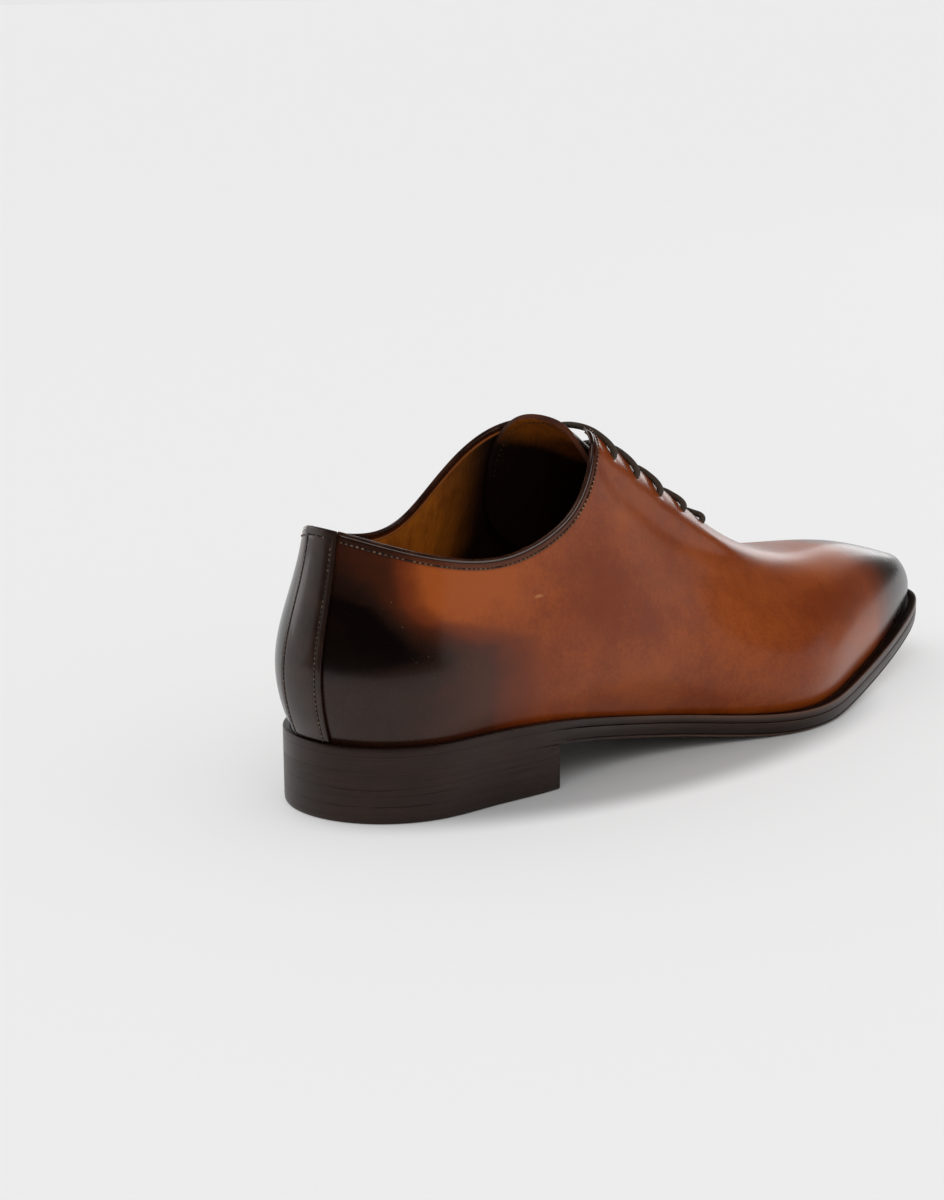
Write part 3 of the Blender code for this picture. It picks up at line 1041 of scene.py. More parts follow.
@dataclass(frozen=True)
class PolishedCalf:
    """Hand-coloured calf leather: tan ground, red-brown clouds and a burnt polish at heel and toe, with a
    painted pool of light high on the heel's quarter.
    """

    name: str
    tan: Colour
    russet: Colour
    chestnut: Colour
    umber: Colour
    sepia: Colour
    burnt: Colour
    roughness: float
    rubbed: Colour = (0.55, 0.25, 0.09)
    dust: Colour = (0.5, 0.33, 0.22)
    scuff: tuple[float, float] = (69.6, 65.2)
    scuff_size: tuple[float, float] = (2.2, 1.1)

    def scuffed(self, tree: ShaderTree, place: Value) -> Value:
        """Find the small half-round scuff on the outer quarter.

        Args:
            tree: The material's tree.
            place: Object coordinates.

        Returns:
            1 on the scuff, 0 elsewhere.
        """
        x, y, z = tree.axes(place)
        along = (x - (self.scuff[0] - MIDDLE[0]) * MM) / (self.scuff_size[0] * MM)
        up = (z - self.scuff[1] * MM) / (self.scuff_size[1] * MM)
        return (1.0 - (along * along + up * up)).step(0.0, 0.8) * up.step(-0.25, 0.0) * y.step(0.0, -0.02)

    def material(self) -> bpy.types.Material:
        """Make the material, which reads the mesh's marks for burnish, for the tan's lightness with a
        painted pool of light, and for the edge with painted shade in its stitch groove.

        Returns:
            The material.
        """
        tree = ShaderTree(self.name)
        place = tree.place()
        cloud = tree.noise(place, 24.0, 3.0)
        mottle = tree.noise(place, 130.0, 4.0, 0.6)
        fine = tree.noise(place, 900.0, 3.0)
        # The lightness mark lightens the tan, with a painted pool of light high on the heel's quarter
        patina_and_light = tree.mark("patina_and_light") + (cloud - 0.5) * 0.9 + (mottle - 0.5) * 0.7 + (fine - 0.5) * 0.6
        ground = tree.blend(patina_and_light.step(0.0, 1.0), self.russet, self.tan)
        toned = tree.mark("burnish") + (mottle - 0.5) * 0.2 + (cloud - 0.5) * 0.24
        tones = (
            (self.chestnut, 0.02, 0.27),
            (self.umber, 0.22, 0.52),
            (self.sepia, 0.46, 0.78),
            (self.burnt, 0.72, 1.0),
        )
        shade = ground
        for colour, low, high in tones:
            shade = tree.blend(toned.step(low, high), shade, colour)
        # The edge mark darkens the rolled edge, and paints shade into the stitch groove
        edged = tree.blend(tree.mark("edge") * 0.8, shade, self.sepia)
        rubbed = tree.blend(self.scuffed(tree, place) * 0.4, edged, self.rubbed)
        specks = tree.cells(place, 420.0).step(0.13, 0.05) * tree.noise(place, 60.0).step(0.56, 0.66)
        dusty = tree.blend(specks * 0.22, rubbed, self.dust)
        grain = tree.bump(tree.cells(place, 1500.0), 0.006)
        soft = tree.bump(tree.noise(place, 120.0, 2.0), 0.05, grain)
        rough = self.roughness + (mottle - 0.5) * 0.10 + (fine - 0.5) * 0.05 - tree.mark("burnish") * 0.08
        return tree.dress(
            Base_Color=dusty,
            Roughness=rough,
            Specular_IOR_Level=0.22,
            Specular_Tint=WARM,
            Coat_Weight=0.2 + tree.mark("burnish") * 0.15,
            Coat_Roughness=0.17,
            Normal=soft,
        )


@dataclass(frozen=True)
class PlainCalf:
    """Dark polished calf leather for the strip and the rolled edges."""

    name: str
    colour: Colour
    worn: Colour
    roughness: float
    coat: float = 0.3
    gleam: float = 1.5

    def material(self) -> bpy.types.Material:
        """Make the material.

        Returns:
            The material.
        """
        tree = ShaderTree(self.name)
        place = tree.place()
        mottle = tree.noise(place, 160.0, 4.0, 0.6)
        grain = tree.bump(tree.cells(place, 1500.0), 0.006)
        soft = tree.bump(tree.noise(place, 260.0, 3.0), 0.04, grain)
        return tree.dress(
            Base_Color=tree.blend(mottle.step(0.35, 0.75), self.colour, self.worn),
            Roughness=self.roughness + (mottle - 0.5) * 0.12,
            Specular_IOR_Level=0.28,
            Specular_Tint=WARM,
            Coat_Weight=self.coat,
            Coat_Roughness=0.12,
            Coat_IOR=self.gleam,
            Normal=soft,
        )


@dataclass(frozen=True)
class LiningLeather:
    """Matt vegetable-tanned lining, wrinkled and a little stained, with painted shade deep inside the shoe.
    """

    name: str
    colour: Colour
    stained: Colour
    raw: Colour
    # Painted shade, laid on where the mark deep is high
    deep_shade: Colour = (0.010, 0.0033, 0.0010)

    def material(self) -> bpy.types.Material:
        """Make the material, which reads the mesh's marks edge, for its cut edge, and deep, for painted
        shade deep inside the shoe.

        Returns:
            The material.
        """
        tree = ShaderTree(self.name)
        place = tree.place()
        cloud = tree.noise(place, 40.0, 4.0, 0.6)
        wrinkle = tree.noise(tree.spread(place, (1.0, 1.0, 0.35)), 190.0, 4.0, 0.6)
        stained = tree.blend(cloud.step(0.42, 0.75), self.colour, self.stained)
        fuzz = tree.noise(place, 1600.0, 2.0)
        # Painted shade: darker where the mark deep is high, deep inside the shoe
        worn = tree.blend(tree.mark("deep"), stained, self.deep_shade)
        raw = tree.blend((tree.mark("edge") + (fuzz - 0.5) * 0.5).step(0.35, 0.65), worn, self.raw)
        grain = tree.bump(fuzz, 0.02)
        return tree.dress(
            Base_Color=raw,
            Roughness=0.6 + (cloud - 0.5) * 0.2,
            Specular_IOR_Level=0.2,
            Normal=tree.bump(wrinkle, 1.1, grain),
        )


@dataclass(frozen=True)
class EdgeLeather:
    """Dyed and waxed sole edge, with fine scratches that run along it."""

    name: str
    colour: Colour
    worn: Colour
    roughness: float
    lift_lines: tuple[float, ...] = ()
    groove: Colour = (0.003, 0.002, 0.002)
    # Pale lips: worn dye, and painted highlights where the bevels catch the light
    lip: Colour = (0.150, 0.080, 0.056)

    def seams(self, tree: ShaderTree, place: Value) -> Value:
        """Find the broken lines between the lifts.

        Args:
            tree: The material's tree.
            place: Object coordinates.

        Returns:
            1 on a line, 0 elsewhere.
        """
        _, _, z = tree.axes(place)
        shift = (tree.noise(place, 30.0, 1.0) - 0.5) * (0.5 * MM)
        broken = tree.noise(tree.spread(place, (1.0, 1.0, 6.0)), 48.0, 3.0).step(0.5, 0.62)
        lines = [(z + shift - height * MM).size().step(0.16 * MM, 0.05 * MM) for height in self.lift_lines]
        return reduce(Value.most, lines) * broken

    def material(self) -> bpy.types.Material:
        """Make the material, which reads the mesh's mark for its pale lips: worn dye, and painted highlights
        where the bevels catch the light.

        Returns:
            The material.
        """
        tree = ShaderTree(self.name)
        place = tree.place()
        streak = tree.noise(tree.spread(place, (40.0, 40.0, 1500.0)), 1.0, 4.0, 0.6)
        cloud = tree.noise(place, 90.0, 4.0, 0.6)
        shade = tree.blend((streak * 0.5 + cloud * 0.5).step(0.42, 0.68), self.colour, self.worn)
        normal = tree.bump(streak, 0.035)
        if self.lift_lines:
            lines = self.seams(tree, place)
            shade = tree.blend(lines * 0.5, shade, self.groove)
            normal = tree.bump(1.0 - lines, 0.08, normal)
        return tree.dress(
            Base_Color=tree.blend(tree.mark("wear_and_highlight") * (cloud * 0.9 + 0.25), shade, self.lip),
            Roughness=self.roughness + (cloud - 0.5) * 0.16,
            Specular_IOR_Level=0.34,
            Specular_Tint=WARM,
            Normal=normal,
        )


@dataclass(frozen=True)
class BraidedCord:
    """Round waxed cord, braided of fine strands."""

    name: str
    colour: Colour
    worn: Colour
    strand: float

    def material(self) -> bpy.types.Material:
        """Make the material, whose braid follows the cord's UV map.

        Returns:
            The material.
        """
        tree = ShaderTree(self.name)
        along, around, _ = tree.axes(tree.add("ShaderNodeTexCoord", {}, {}, "UV"))
        turns = 2 * pi / self.strand
        left = ((along + around) * turns).wave() * 0.5 + 0.5
        right = ((along - around) * turns).wave() * 0.5 + 0.5
        braid = left.most(right)
        fuzz = tree.noise(tree.place(), 2500.0, 2.0)
        return tree.dress(
            Base_Color=tree.blend((braid * 0.45 + fuzz * 0.9).step(0.5, 1.15), self.colour, self.worn),
            Roughness=0.62 + (fuzz - 0.5) * 0.2,
            Normal=tree.bump(braid * 0.8 + fuzz * 0.4, 0.16),
        )


@dataclass(frozen=True)
class Thread:
    """Waxed sewing thread; also near-black dots of painted shade at the needle holes."""

    name: str
    colour: Colour
    worn: Colour

    def material(self) -> bpy.types.Material:
        """Make the material.

        Returns:
            The material.
        """
        tree = ShaderTree(self.name)
        place = tree.place()
        shade = tree.noise(place, 300.0, 2.0)
        return tree.dress(
            Base_Color=tree.blend(shade.step(0.35, 0.65), self.colour, self.worn),
            Roughness=0.5 + (shade - 0.5) * 0.2,
            Normal=tree.bump(tree.noise(place, 4000.0, 2.0), 0.05),
        )


@dataclass(frozen=True)
class PalePaper:
    """Matt pale ground of the studio, which can glow with painted light that lifts its shadows."""

    name: str
    colour: Colour
    painted_glow: float = 0.0
    print_middle: tuple[float, float] = (-0.030, -0.014)
    print_reach: tuple[float, float] = (0.110, 0.052)

    def material(self) -> bpy.types.Material:
        """Make the material, which glows a little outside the sole's print: painted light that makes the
        floor's shadows faint there, while under the sole no glow is added.

        Returns:
            The material.
        """
        tree = ShaderTree(self.name)
        x, y, _ = tree.axes(tree.place())
        along = (x - self.print_middle[0]) / self.print_reach[0]
        aside = (y - self.print_middle[1]) / self.print_reach[1]
        away = along * along + aside * aside
        return tree.dress(
            Base_Color=self.colour,
            Roughness=0.9,
            Specular_IOR_Level=0.1,
            # Painted light: the glow is off over the sole's print and full further out
            Emission_Color=tree.blend(away.step(0.75, 1.5), (0.0, 0.0, 0.0), (1.0, 1.0, 1.0)),
            Emission_Strength=self.painted_glow,
        )


class Finishes:
    """The shoe's materials, each made once."""

    def __init__(self) -> None:
        """Make every material."""
        self.upper = PolishedCalf(
            "cognac_calf",
            tan=(0.310, 0.064, 0.0068),
            russet=(0.165, 0.0262, 0.0032),
            chestnut=(0.130, 0.0215, 0.0032),
            umber=(0.052, 0.0105, 0.0026),
            sepia=(0.0165, 0.0056, 0.0030),
            burnt=(0.0034, 0.0014, 0.0009),
            roughness=0.34,
        ).material()
        self.strip = PlainCalf(
            "dark_calf", (0.012, 0.0052, 0.0034), (0.024, 0.0105, 0.0065), 0.30).material()
        self.bead = PlainCalf(
            "bead_calf", (0.020, 0.0075, 0.0045), (0.055, 0.0190, 0.0100), 0.2, 0.6, 2.1).material()
        self.lining = LiningLeather(
            "tan_lining", (0.405, 0.114, 0.0065), (0.165, 0.040, 0.0030), (0.220, 0.062, 0.011)).material()
        self.raw = LiningLeather(
            "raw_edge", (0.110, 0.024, 0.006), (0.036, 0.009, 0.004), (0.110, 0.024, 0.006)).material()
        self.edge = EdgeLeather(
            "sole_edge", (0.010, 0.0046, 0.0032), (0.019, 0.0095, 0.0068), 0.33).material()
        self.stack = EdgeLeather(
            "heel_stack", (0.011, 0.0050, 0.0035), (0.021, 0.0105, 0.0075), 0.40,
            lift_lines=(5.85, 9.4, 11.35, 14.2)).material()
        self.tread = EdgeLeather("sole_tread", (0.085, 0.040, 0.020), (0.130, 0.066, 0.034), 0.55).material()
        self.cord = BraidedCord(
            "waxed_cord", (0.026, 0.0155, 0.0100), (0.105, 0.066, 0.042), 0.62).material()
        self.thread = Thread("brown_thread", (0.085, 0.046, 0.028), (0.180, 0.108, 0.068)).material()
        self.dark_thread = Thread("dark_thread", (0.022, 0.011, 0.007), (0.062, 0.034, 0.020)).material()
        self.pale_thread = Thread("tan_thread", (0.280, 0.150, 0.066), (0.420, 0.270, 0.140)).material()
        # Near-black dots at the needle holes: painted shade inside the holes
        self.hole = Thread("needle_hole_shade", (0.004, 0.002, 0.001), (0.007, 0.003, 0.002)).material()
        # The ground's glow is painted light that lifts its shadows away from the sole
        self.floor = PalePaper("studio_ground", (0.50, 0.50, 0.50), 0.36).material()
        self.wall = PalePaper("studio_wall", (0.85, 0.85, 0.85)).material()


# Repeated shapes

class RowSizes(NamedTuple):
    """Pitch, length and thickness of shapes in a row, how uneven they are, and their seed."""

    pitch: float
    length: float
    thickness: float
    uneven: float = 0.06
    seed: int = 3


class RowNodes:
    """Geometry Nodes tree that sets small rounded shapes at even steps on paths."""

    INPUTS = {
        "Pitch": "NodeSocketFloat",
        "Length": "NodeSocketFloat",
        "Thickness": "NodeSocketFloat",
        "Uneven": "NodeSocketFloat",
        "Seed": "NodeSocketInt",
        "Finish": "NodeSocketMaterial",
    }

    def __init__(self, stance: Stance) -> None:
        """Build the tree.

        Args:
            stance: Whether the shapes lie along the path, or level across it.
        """
        self.stance = stance
        self.tree = bpy.data.node_groups.new(f"rows_{stance.value}", "GeometryNodeTree")
        face = self.tree.interface
        face.new_socket("Geometry", in_out="INPUT", socket_type="NodeSocketGeometry")
        self.names = {}
        for name, kind in self.INPUTS.items():
            self.names[name] = face.new_socket(name, in_out="INPUT", socket_type=kind).identifier
        face.new_socket("Geometry", in_out="OUTPUT", socket_type="NodeSocketGeometry")
        self.build()

    def add(self, kind: str, settings: Mapping, values: Mapping, out: int = 0) -> bpy.types.NodeSocket:
        """Add a node.

        Args:
            kind: The node's type.
            settings: Its properties, which are set first.
            values: Numbers, vectors or output sockets for its inputs.
            out: The number of the output wanted.

        Returns:
            The output.
        """
        made = self.tree.nodes.new(kind)
        for key, setting in settings.items():
            setattr(made, key, setting)
        for key, value in values.items():
            if isinstance(value, bpy.types.NodeSocket):
                self.tree.links.new(value, made.inputs[key])
            else:
                made.inputs[key].default_value = value
        return made.outputs[out]

    def build(self) -> None:
        """Add the tree's nodes."""
        given = self.tree.nodes.new("NodeGroupInput").outputs
        line = self.add("GeometryNodeMeshToCurve", {}, {"Mesh": given["Geometry"]})
        spaced = {"Curve": line, "Length": given["Pitch"]}
        even = self.add("GeometryNodeResampleCurve", {"mode": "LENGTH"}, spaced)
        way = self.add("GeometryNodeInputTangent", {}, {})
        if self.stance is Stance.ACROSS:
            level = {0: way, 1: (0.0, 0.0, 1.0)}
            way = self.add("ShaderNodeVectorMath", {"operation": "CROSS_PRODUCT"}, level)
        turn = self.add("FunctionNodeAlignRotationToVector", {"axis": "X"}, {"Vector": way})
        shape = self.add("GeometryNodeMeshUVSphere", {}, {"Segments": 6, "Rings": 5, "Radius": 0.5})
        low = self.add("ShaderNodeMath", {"operation": "SUBTRACT"}, {0: 1.0, 1: given["Uneven"]})
        high = self.add("ShaderNodeMath", {"operation": "ADD"}, {0: 1.0, 1: given["Uneven"]})
        bounds = {2: low, 3: high, "Seed": given["Seed"]}
        chance = self.add("FunctionNodeRandomValue", {"data_type": "FLOAT"}, bounds, 1)
        sides = {"X": given["Length"], "Y": given["Thickness"], "Z": given["Thickness"]}
        sizes = self.add("ShaderNodeCombineXYZ", {}, sides)
        scale = self.add("ShaderNodeVectorMath", {"operation": "SCALE"}, {"Vector": sizes, "Scale": chance})
        places = {"Points": even, "Instance": shape, "Rotation": turn, "Scale": scale}
        laid = self.add("GeometryNodeInstanceOnPoints", {}, places)
        real = self.add("GeometryNodeRealizeInstances", {}, {"Geometry": laid})
        soft = self.add("GeometryNodeSetShadeSmooth", {}, {"Geometry": real})
        done = self.add("GeometryNodeSetMaterial", {}, {"Geometry": soft, "Material": given["Finish"]})
        self.tree.links.new(done, self.tree.nodes.new("NodeGroupOutput").inputs["Geometry"])

    def lay(
            self, name: str, paths: Sequence[np.ndarray], sizes: RowSizes,
            finish: bpy.types.Material) -> bpy.types.Mesh:
        """Lay shapes on paths.

        Args:
            name: The mesh's name.
            paths: Lines of points in the last's frame.
            sizes: Pitch and sizes of the shapes.
            finish: Their material.

        Returns:
            One plain mesh.
        """
        points = row_frame(np.concatenate(paths)).tolist()
        edges, first = [], 0
        for path in paths:
            edges += [(first + i, first + i + 1) for i in range(len(path) - 1)]
            first += len(path)
        mesh = bpy.data.meshes.new(name)
        mesh.from_pydata(points, edges, [])
        thing = maker(name, mesh)
        rows = thing.modifiers.new("rows", "NODES")
        rows.node_group = self.tree
        given = {
            "Pitch": sizes.pitch * MM,
            "Length": sizes.length * MM,
            "Thickness": sizes.thickness * MM,
            "Uneven": sizes.uneven,
            "Seed": sizes.seed,
            "Finish": finish,
        }
        for key, value in given.items():
            rows[self.names[key]] = value
        return settled(thing)


# Sub-assemblies

@dataclass
class Lacing:
    """Five straight bars of round cord through blind eyelets, and the returns under the facings."""

    finishes: Finishes
    places: tuple[float, ...] = (120.5, 131.8, 144.2, 158.3, 171.6)
    reaches: tuple[float, ...] = (17.8, 17.7, 17.0, 15.3, 12.6)
    radius: float = 1.1
    hole: float = 1.2
    over: float = 1.25
    sag: float = 1.1
    under: float = 3.4
    return_inside: float = 4.2

    def eyelets(self) -> list[tuple[float, float]]:
        """Place along the shoe and reach of each pair of eyelets, from the top down."""
        return list(zip(self.places, self.reaches))

    def eyelet_points(self) -> np.ndarray:
        """Middle of every eyelet on the upper's outside."""
        rows = self.eyelets()
        return np.array([LAST.across(x, side * reach, 0.0) for x, reach in rows for side in (-1, 1)])

    def bar(self, x: float, reach: float, side: int) -> list[np.ndarray]:
        """Points of one bar, up through an eyelet, over the throat and down through the opposite one.

        Args:
            x: Place along the shoe.
            reach: Reach of its eyelets.
            side: Side it comes up on, -1 outside or 1 inside.

        Returns:
            The points of its middle line.
        """
        over = self.over
        rise = [(reach, -WALL - 0.2), (reach, -WALL / 2), (reach, 0.0), (reach - 0.3 * over, 0.72 * over)]
        shares = np.linspace(1, -1, 9)
        bridge = [(share * (reach - over), over - self.sag * (1.0 - share * share)) for share in shares]
        fall = [(-out, height) for out, height in reversed(rise)]
        return [LAST.across(x, side * out, height) for out, height in rise + bridge + fall]

    def path(self) -> list[np.ndarray]:
        """Lead the whole cord from one top eyelet to the other.

        Returns:
            The points of its middle line.
        """
        rows = self.eyelets()
        side = -1
        path = [LAST.across(rows[0][0], side * rows[0][1], -self.under - 0.6)]
        for i, (x, reach) in enumerate(rows):
            path += self.bar(x, reach, side)
            side = -side
            if i + 1 < len(rows):
                onward, onward_reach = rows[i + 1]
                for share in (0.12, 0.5, 0.88):
                    between = reach + (onward_reach - reach) * share
                    path.append(LAST.across(x + (onward - x) * share, side * between, -self.under))
        x, reach = rows[-1]
        for share in np.linspace(0.04, 1, 10):
            back = x + (rows[0][0] - x) * share
            inside = reach + (rows[0][1] - reach) * share - self.return_inside * min(1.0, 8 * share)
            path.append(LAST.across(back, side * inside, -self.under))
        return path

    def build(self) -> None:
        """Make the cord."""
        mesh = tube_mesh("lace", smooth_path(self.path(), 0.5), self.radius, 14)
        mesh.materials.append(self.finishes.cord)
        add_piece("lace_cord", mesh, ["lace"])

    def pierce(self, thing: bpy.types.Object) -> bpy.types.Mesh:
        """Cut the eyelets into a wall.

        Args:
            thing: The wall's object, which is removed.

        Returns:
            The wall's plain mesh.
        """
        below, above = -4.0, 3.0
        work = bmesh.new()
        for x, reach in self.eyelets():
            for side in (-1, 1):
                foot = row_frame(LAST.across(x, side * reach, below))
                head = row_frame(LAST.across(x, side * reach, above))
                turn = Vector(head - foot).to_track_quat("Z", "Y").to_matrix().to_4x4()
                stand = Matrix.Translation(Vector((foot + head) / 2)) @ turn
                bmesh.ops.create_cone(
                    work, cap_ends=True, segments=20, radius1=self.hole * MM, radius2=self.hole * MM,
                    depth=float(np.linalg.norm(head - foot)), matrix=stand)
        mesh = bpy.data.meshes.new("eyelet_cutters")
        work.to_mesh(mesh)
        work.free()
        cutter = maker("eyelet_cutters", mesh)
        holes = thing.modifiers.new("eyelets", "BOOLEAN")
        holes.operation = "DIFFERENCE"
        holes.solver = "EXACT"
        holes.object = cutter
        wall = settled(thing)
        bpy.data.objects.remove(cutter)
        return wall


@dataclass
class Upper:
    """The wholecut leather, its lining and the rolled edge of its collar."""

    finishes: Finishes
    lacing: Lacing
    rims: tuple[Rim, Rim]
    leather: float = 1.0
    lining: float = 0.75
    rim_rise: float = 0.35
    seam_inset: float = 1.3
    bead_radius: float = 0.85
    bead_lift: float = 1.0
    toe_columns: int = 70
    close_rows: float = 8.0
    seam_groove: float = 0.13
    seam_zone: float = 16.0
    facing_depth: float = 0.5
    facing_roll: tuple[float, float] = (19.8, 2.4)
    facing_dip: tuple[float, float] = (23.9, 2.1)
    eyelet_pull: float = 0.12
    scuff_depth: float = 0.35
    change: float = 46.0

    def stations(self, coarse: float = 1.0) -> np.ndarray:
        """Stations of the mesh, evenly spread along the edge and closest at the facings' corners.

        Args:
            coarse: Times wider steps.

        Returns:
            Stations up the outer side, round the toe and down the inner side.
        """
        sides = []
        for rim in self.rims:
            runs = np.concatenate([
                np.arange(0, rim.corner - 16, 1.5 * coarse),
                np.arange(rim.corner - 16, rim.corner + 4, 0.7 * coarse),
                np.arange(rim.corner + 4, rim.length - 0.5, 1.1 * coarse)])
            sides.append(np.interp(runs, rim.run, rim.stations))
        toe = np.linspace(LAST.station(THROAT_END_X), TOE, self.toe_columns + 1)[:-1]
        outer, inner = sides
        return np.round(np.concatenate([outer, toe, [TOE], ROUND - toe[::-1], ROUND - inner[::-1]]), 5)

    def shares(self, station: float, rise: float, rows: int) -> tuple[np.ndarray, np.ndarray]:
        """Shares of the way up a section for the mesh's rows, and their distance from the edge.

        Args:
            station: The section's station.
            rise: How far past the last's edge the top row lies, on the collar and throat.
            rows: Rows below the close ones at the edge.

        Returns:
            Shares and distances from the foot to the edge.
        """
        cut = LAST.cut(float(station))
        rim = LAST.rim(float(station))
        top = float(np.interp(rim, cut.scan, cut.run)) + (rise if rim < 1.0 else 0.0)
        close = np.arange(0.0, self.close_rows, 0.5)
        below = np.concatenate([close, np.linspace(self.close_rows, top, rows)])[::-1]
        return np.interp(top - below, cut.run, cut.scan), below

    def grid(self, rise: float, rows: int, coarse: float = 1.0) -> dict[str, np.ndarray]:
        """Points of the upper's outside with what is known of each.

        Args:
            rise: How far past the last's edge the sheet goes.
            rows: Rows below the close ones at the edge.
            coarse: Times wider steps along the shoe.

        Returns:
            Grids named points, normals, station, reach and below.
        """
        found = {key: [] for key in ("points", "reach", "below", "station")}
        for station in self.stations(coarse):
            cut = LAST.cut(float(station))
            share, below = self.shares(station, rise, rows)
            found["points"].append(cut.points(share))
            found["reach"].append(cut.curve.at(share)[:, 0])
            found["below"].append(below)
            found["station"].append(np.full(len(share), station))
        grids = {key: np.array(rows) for key, rows in found.items()}
        points = grids["points"]
        wrapped = np.concatenate([points[-2:-1], points, points[1:2]])
        out = np.cross(wrapped[2:] - wrapped[:-2], np.gradient(points, axis=1))
        normals = out / np.maximum(np.linalg.norm(out, axis=2), 1e-9)[..., None]
        tip = int(np.argmin(abs(grids["station"][:, 0] - TOE)))
        for step in range(self.toe_columns + 1):
            ridge = normals[tip - step, -8] + normals[tip + step, -8]
            normals[[tip - step, tip + step], -7:] = ridge / np.linalg.norm(ridge)
        grids["normals"] = normals
        return grids

    def edge_distance(self, grids: Mapping[str, np.ndarray]) -> np.ndarray:
        """Distance of each point from the nearest point of collar or throat.

        Args:
            grids: The points and what is known of them.

        Returns:
            The distances, endless far below the edge.
        """
        edge = np.concatenate([rim.line(0.0, rim.length, 0.0, 0.0) for rim in self.rims])
        distance = np.full(grids["below"].shape, np.inf)
        near = grids["below"] < self.seam_zone
        parts = np.array_split(grids["points"][near], 24)
        distance[near] = np.concatenate([
            np.linalg.norm(part[:, None] - edge[None], axis=2).min(1) for part in parts])
        return distance

    def relief(self, grids: Mapping[str, np.ndarray], distance: np.ndarray) -> np.ndarray:
        """Soft hollows and swellings of the leather.

        Args:
            grids: The points and what is known of them.
            distance: Their distance from collar or throat.

        Returns:
            How far each point is moved out.
        """
        points, reach = grids["points"], grids["reach"]
        x, _, z = np.moveaxis(points, -1, 0)
        lift = -self.seam_groove * hump(distance, self.seam_inset, 0.7)
        facing = soft_step(x, 104, 116) * (1 - soft_step(x, 168, 186))
        facing = facing * (1 - soft_step(grids["below"], 26, 44))
        lift += facing * self.facing_depth * hump(reach, *self.facing_roll)
        lift -= facing * self.facing_depth * hump(reach, *self.facing_dip)
        for middle in self.lacing.eyelet_points():
            lift -= self.eyelet_pull * hump(np.linalg.norm(points - middle, axis=2), 0.0, 2.2)
        rows = self.lacing.eyelets()
        for (x_one, reach_one), (x_two, reach_two) in zip(rows, rows[1:]):
            middle, width = (x_one + x_two) / 2, (reach_one + reach_two) / 2
            lift += facing * self.eyelet_pull * hump(x, middle, 3.6) * hump(reach, width + 1.0, 3.5)
        outer = grids["station"] < TOE
        for crease in CREASES:
            slant = z - crease.z + 0.18 * (x - crease.x)
            lift -= outer * crease.depth * hump(slant, 0.0, 0.8) * hump(x, crease.x, crease.length)
        lift -= outer * self.scuff_depth * hump(x, 70.0, 9.0) * hump(z, 63.5, 5.0)
        return lift

    @staticmethod
    def fade(place: np.ndarray, edges: Sequence[Numbers]) -> np.ndarray:
        """How dark the polish is at places along the shoe.

        Args:
            place: The places.
            edges: Where it is black, deep, dark, warm and gone.

        Returns:
            1 where it is black, down to 0 where it is gone.
        """
        steps = zip(edges, edges[1:])
        return 1.0 - sum(0.25 * np.clip((place - a) / (b - a), 0, 1) for a, b in steps)

    def burnish(self, points: np.ndarray) -> np.ndarray:
        """How dark the polish is: heaviest low on the heel and over the toe.

        Args:
            points: Points of the upper.

        Returns:
            1 where it is black, down to 0 where there is none.
        """
        x, y, z = np.moveaxis(points, -1, 0)
        heights = [tone.z for tone in HEEL_BURNISH]
        edges = [np.interp(z, heights, places) for places in zip(*(tone.places for tone in HEEL_BURNISH))]
        return np.maximum(self.fade(x, edges), self.fade(x - 0.32 * abs(y - 8.0), TOE_BURNISH))

    @staticmethod
    def patina_and_light(points: np.ndarray) -> np.ndarray:
        """How light the tan is: palest high on the quarter, where a painted pool of light stands for the key
        light falling on that side, over the vamp and low on the toe's side.

        Args:
            points: Points of the upper.

        Returns:
            About 0 where it is red-brown, up to 1 where it is tan.
        """
        x, _, z = np.moveaxis(points, -1, 0)
        light = 0.34 + 0.55 * hump(x, 232.0, 34.0) * soft_step(z, 41.0, 50.0)
        for cloud in PATINA_AND_LIGHT:
            light += cloud.strength * hump(x, cloud.x, cloud.x_spread) * hump(z, cloud.z, cloud.z_spread)
        return light

    def build_leather(self) -> None:
        """Make the outer leather, with its relief, rounded edges and eyelets."""
        grids = self.grid(self.rim_rise, 58)
        distance = self.edge_distance(grids)
        points = grids["points"] + self.relief(grids, distance)[..., None] * grids["normals"]
        marks = {
            "burnish": self.burnish(points),
            "patina_and_light": self.patina_and_light(points),
            # Darker rolled edge along collar and throat, and painted shade in the groove of the stitch line
            "edge": np.maximum(
                1.0 - soft_step(distance, 0.4, self.seam_inset + 0.6),
                0.7 * hump(distance, self.seam_inset, 0.5)),
        }
        mesh = grid_mesh("upper", points, marks)
        even_tip(mesh)
        mesh.materials.append(self.finishes.upper)
        thing = maker("upper", mesh)
        add_wall(thing, self.leather, outward=False)
        add_round(thing, 0.28)
        add_piece("upper_leather", self.lacing.pierce(thing), ["upper"])

    def build_lining(self) -> None:
        """Make the lining inside the leather, with long soft waves and short ones under the collar."""
        grids = self.grid(-0.7, 48, 1.6)
        x, _, z = np.moveaxis(grids["points"], -1, 0)
        below = grids["below"]
        wave = 0.4 * np.sin(x * 0.23 + 0.10 * below) * np.sin(x * 0.071 + 1.0)
        wave += 0.3 * np.sin(x * 0.9 + 0.4 * below) * hump(x, 70.0, 16.0)
        wave *= soft_step(below, 2.0, 9.0)
        inside = grids["points"] - (self.leather + 0.04 + abs(wave))[..., None] * grids["normals"]
        edge = 1.0 - soft_step(below, 0.4, 0.9)
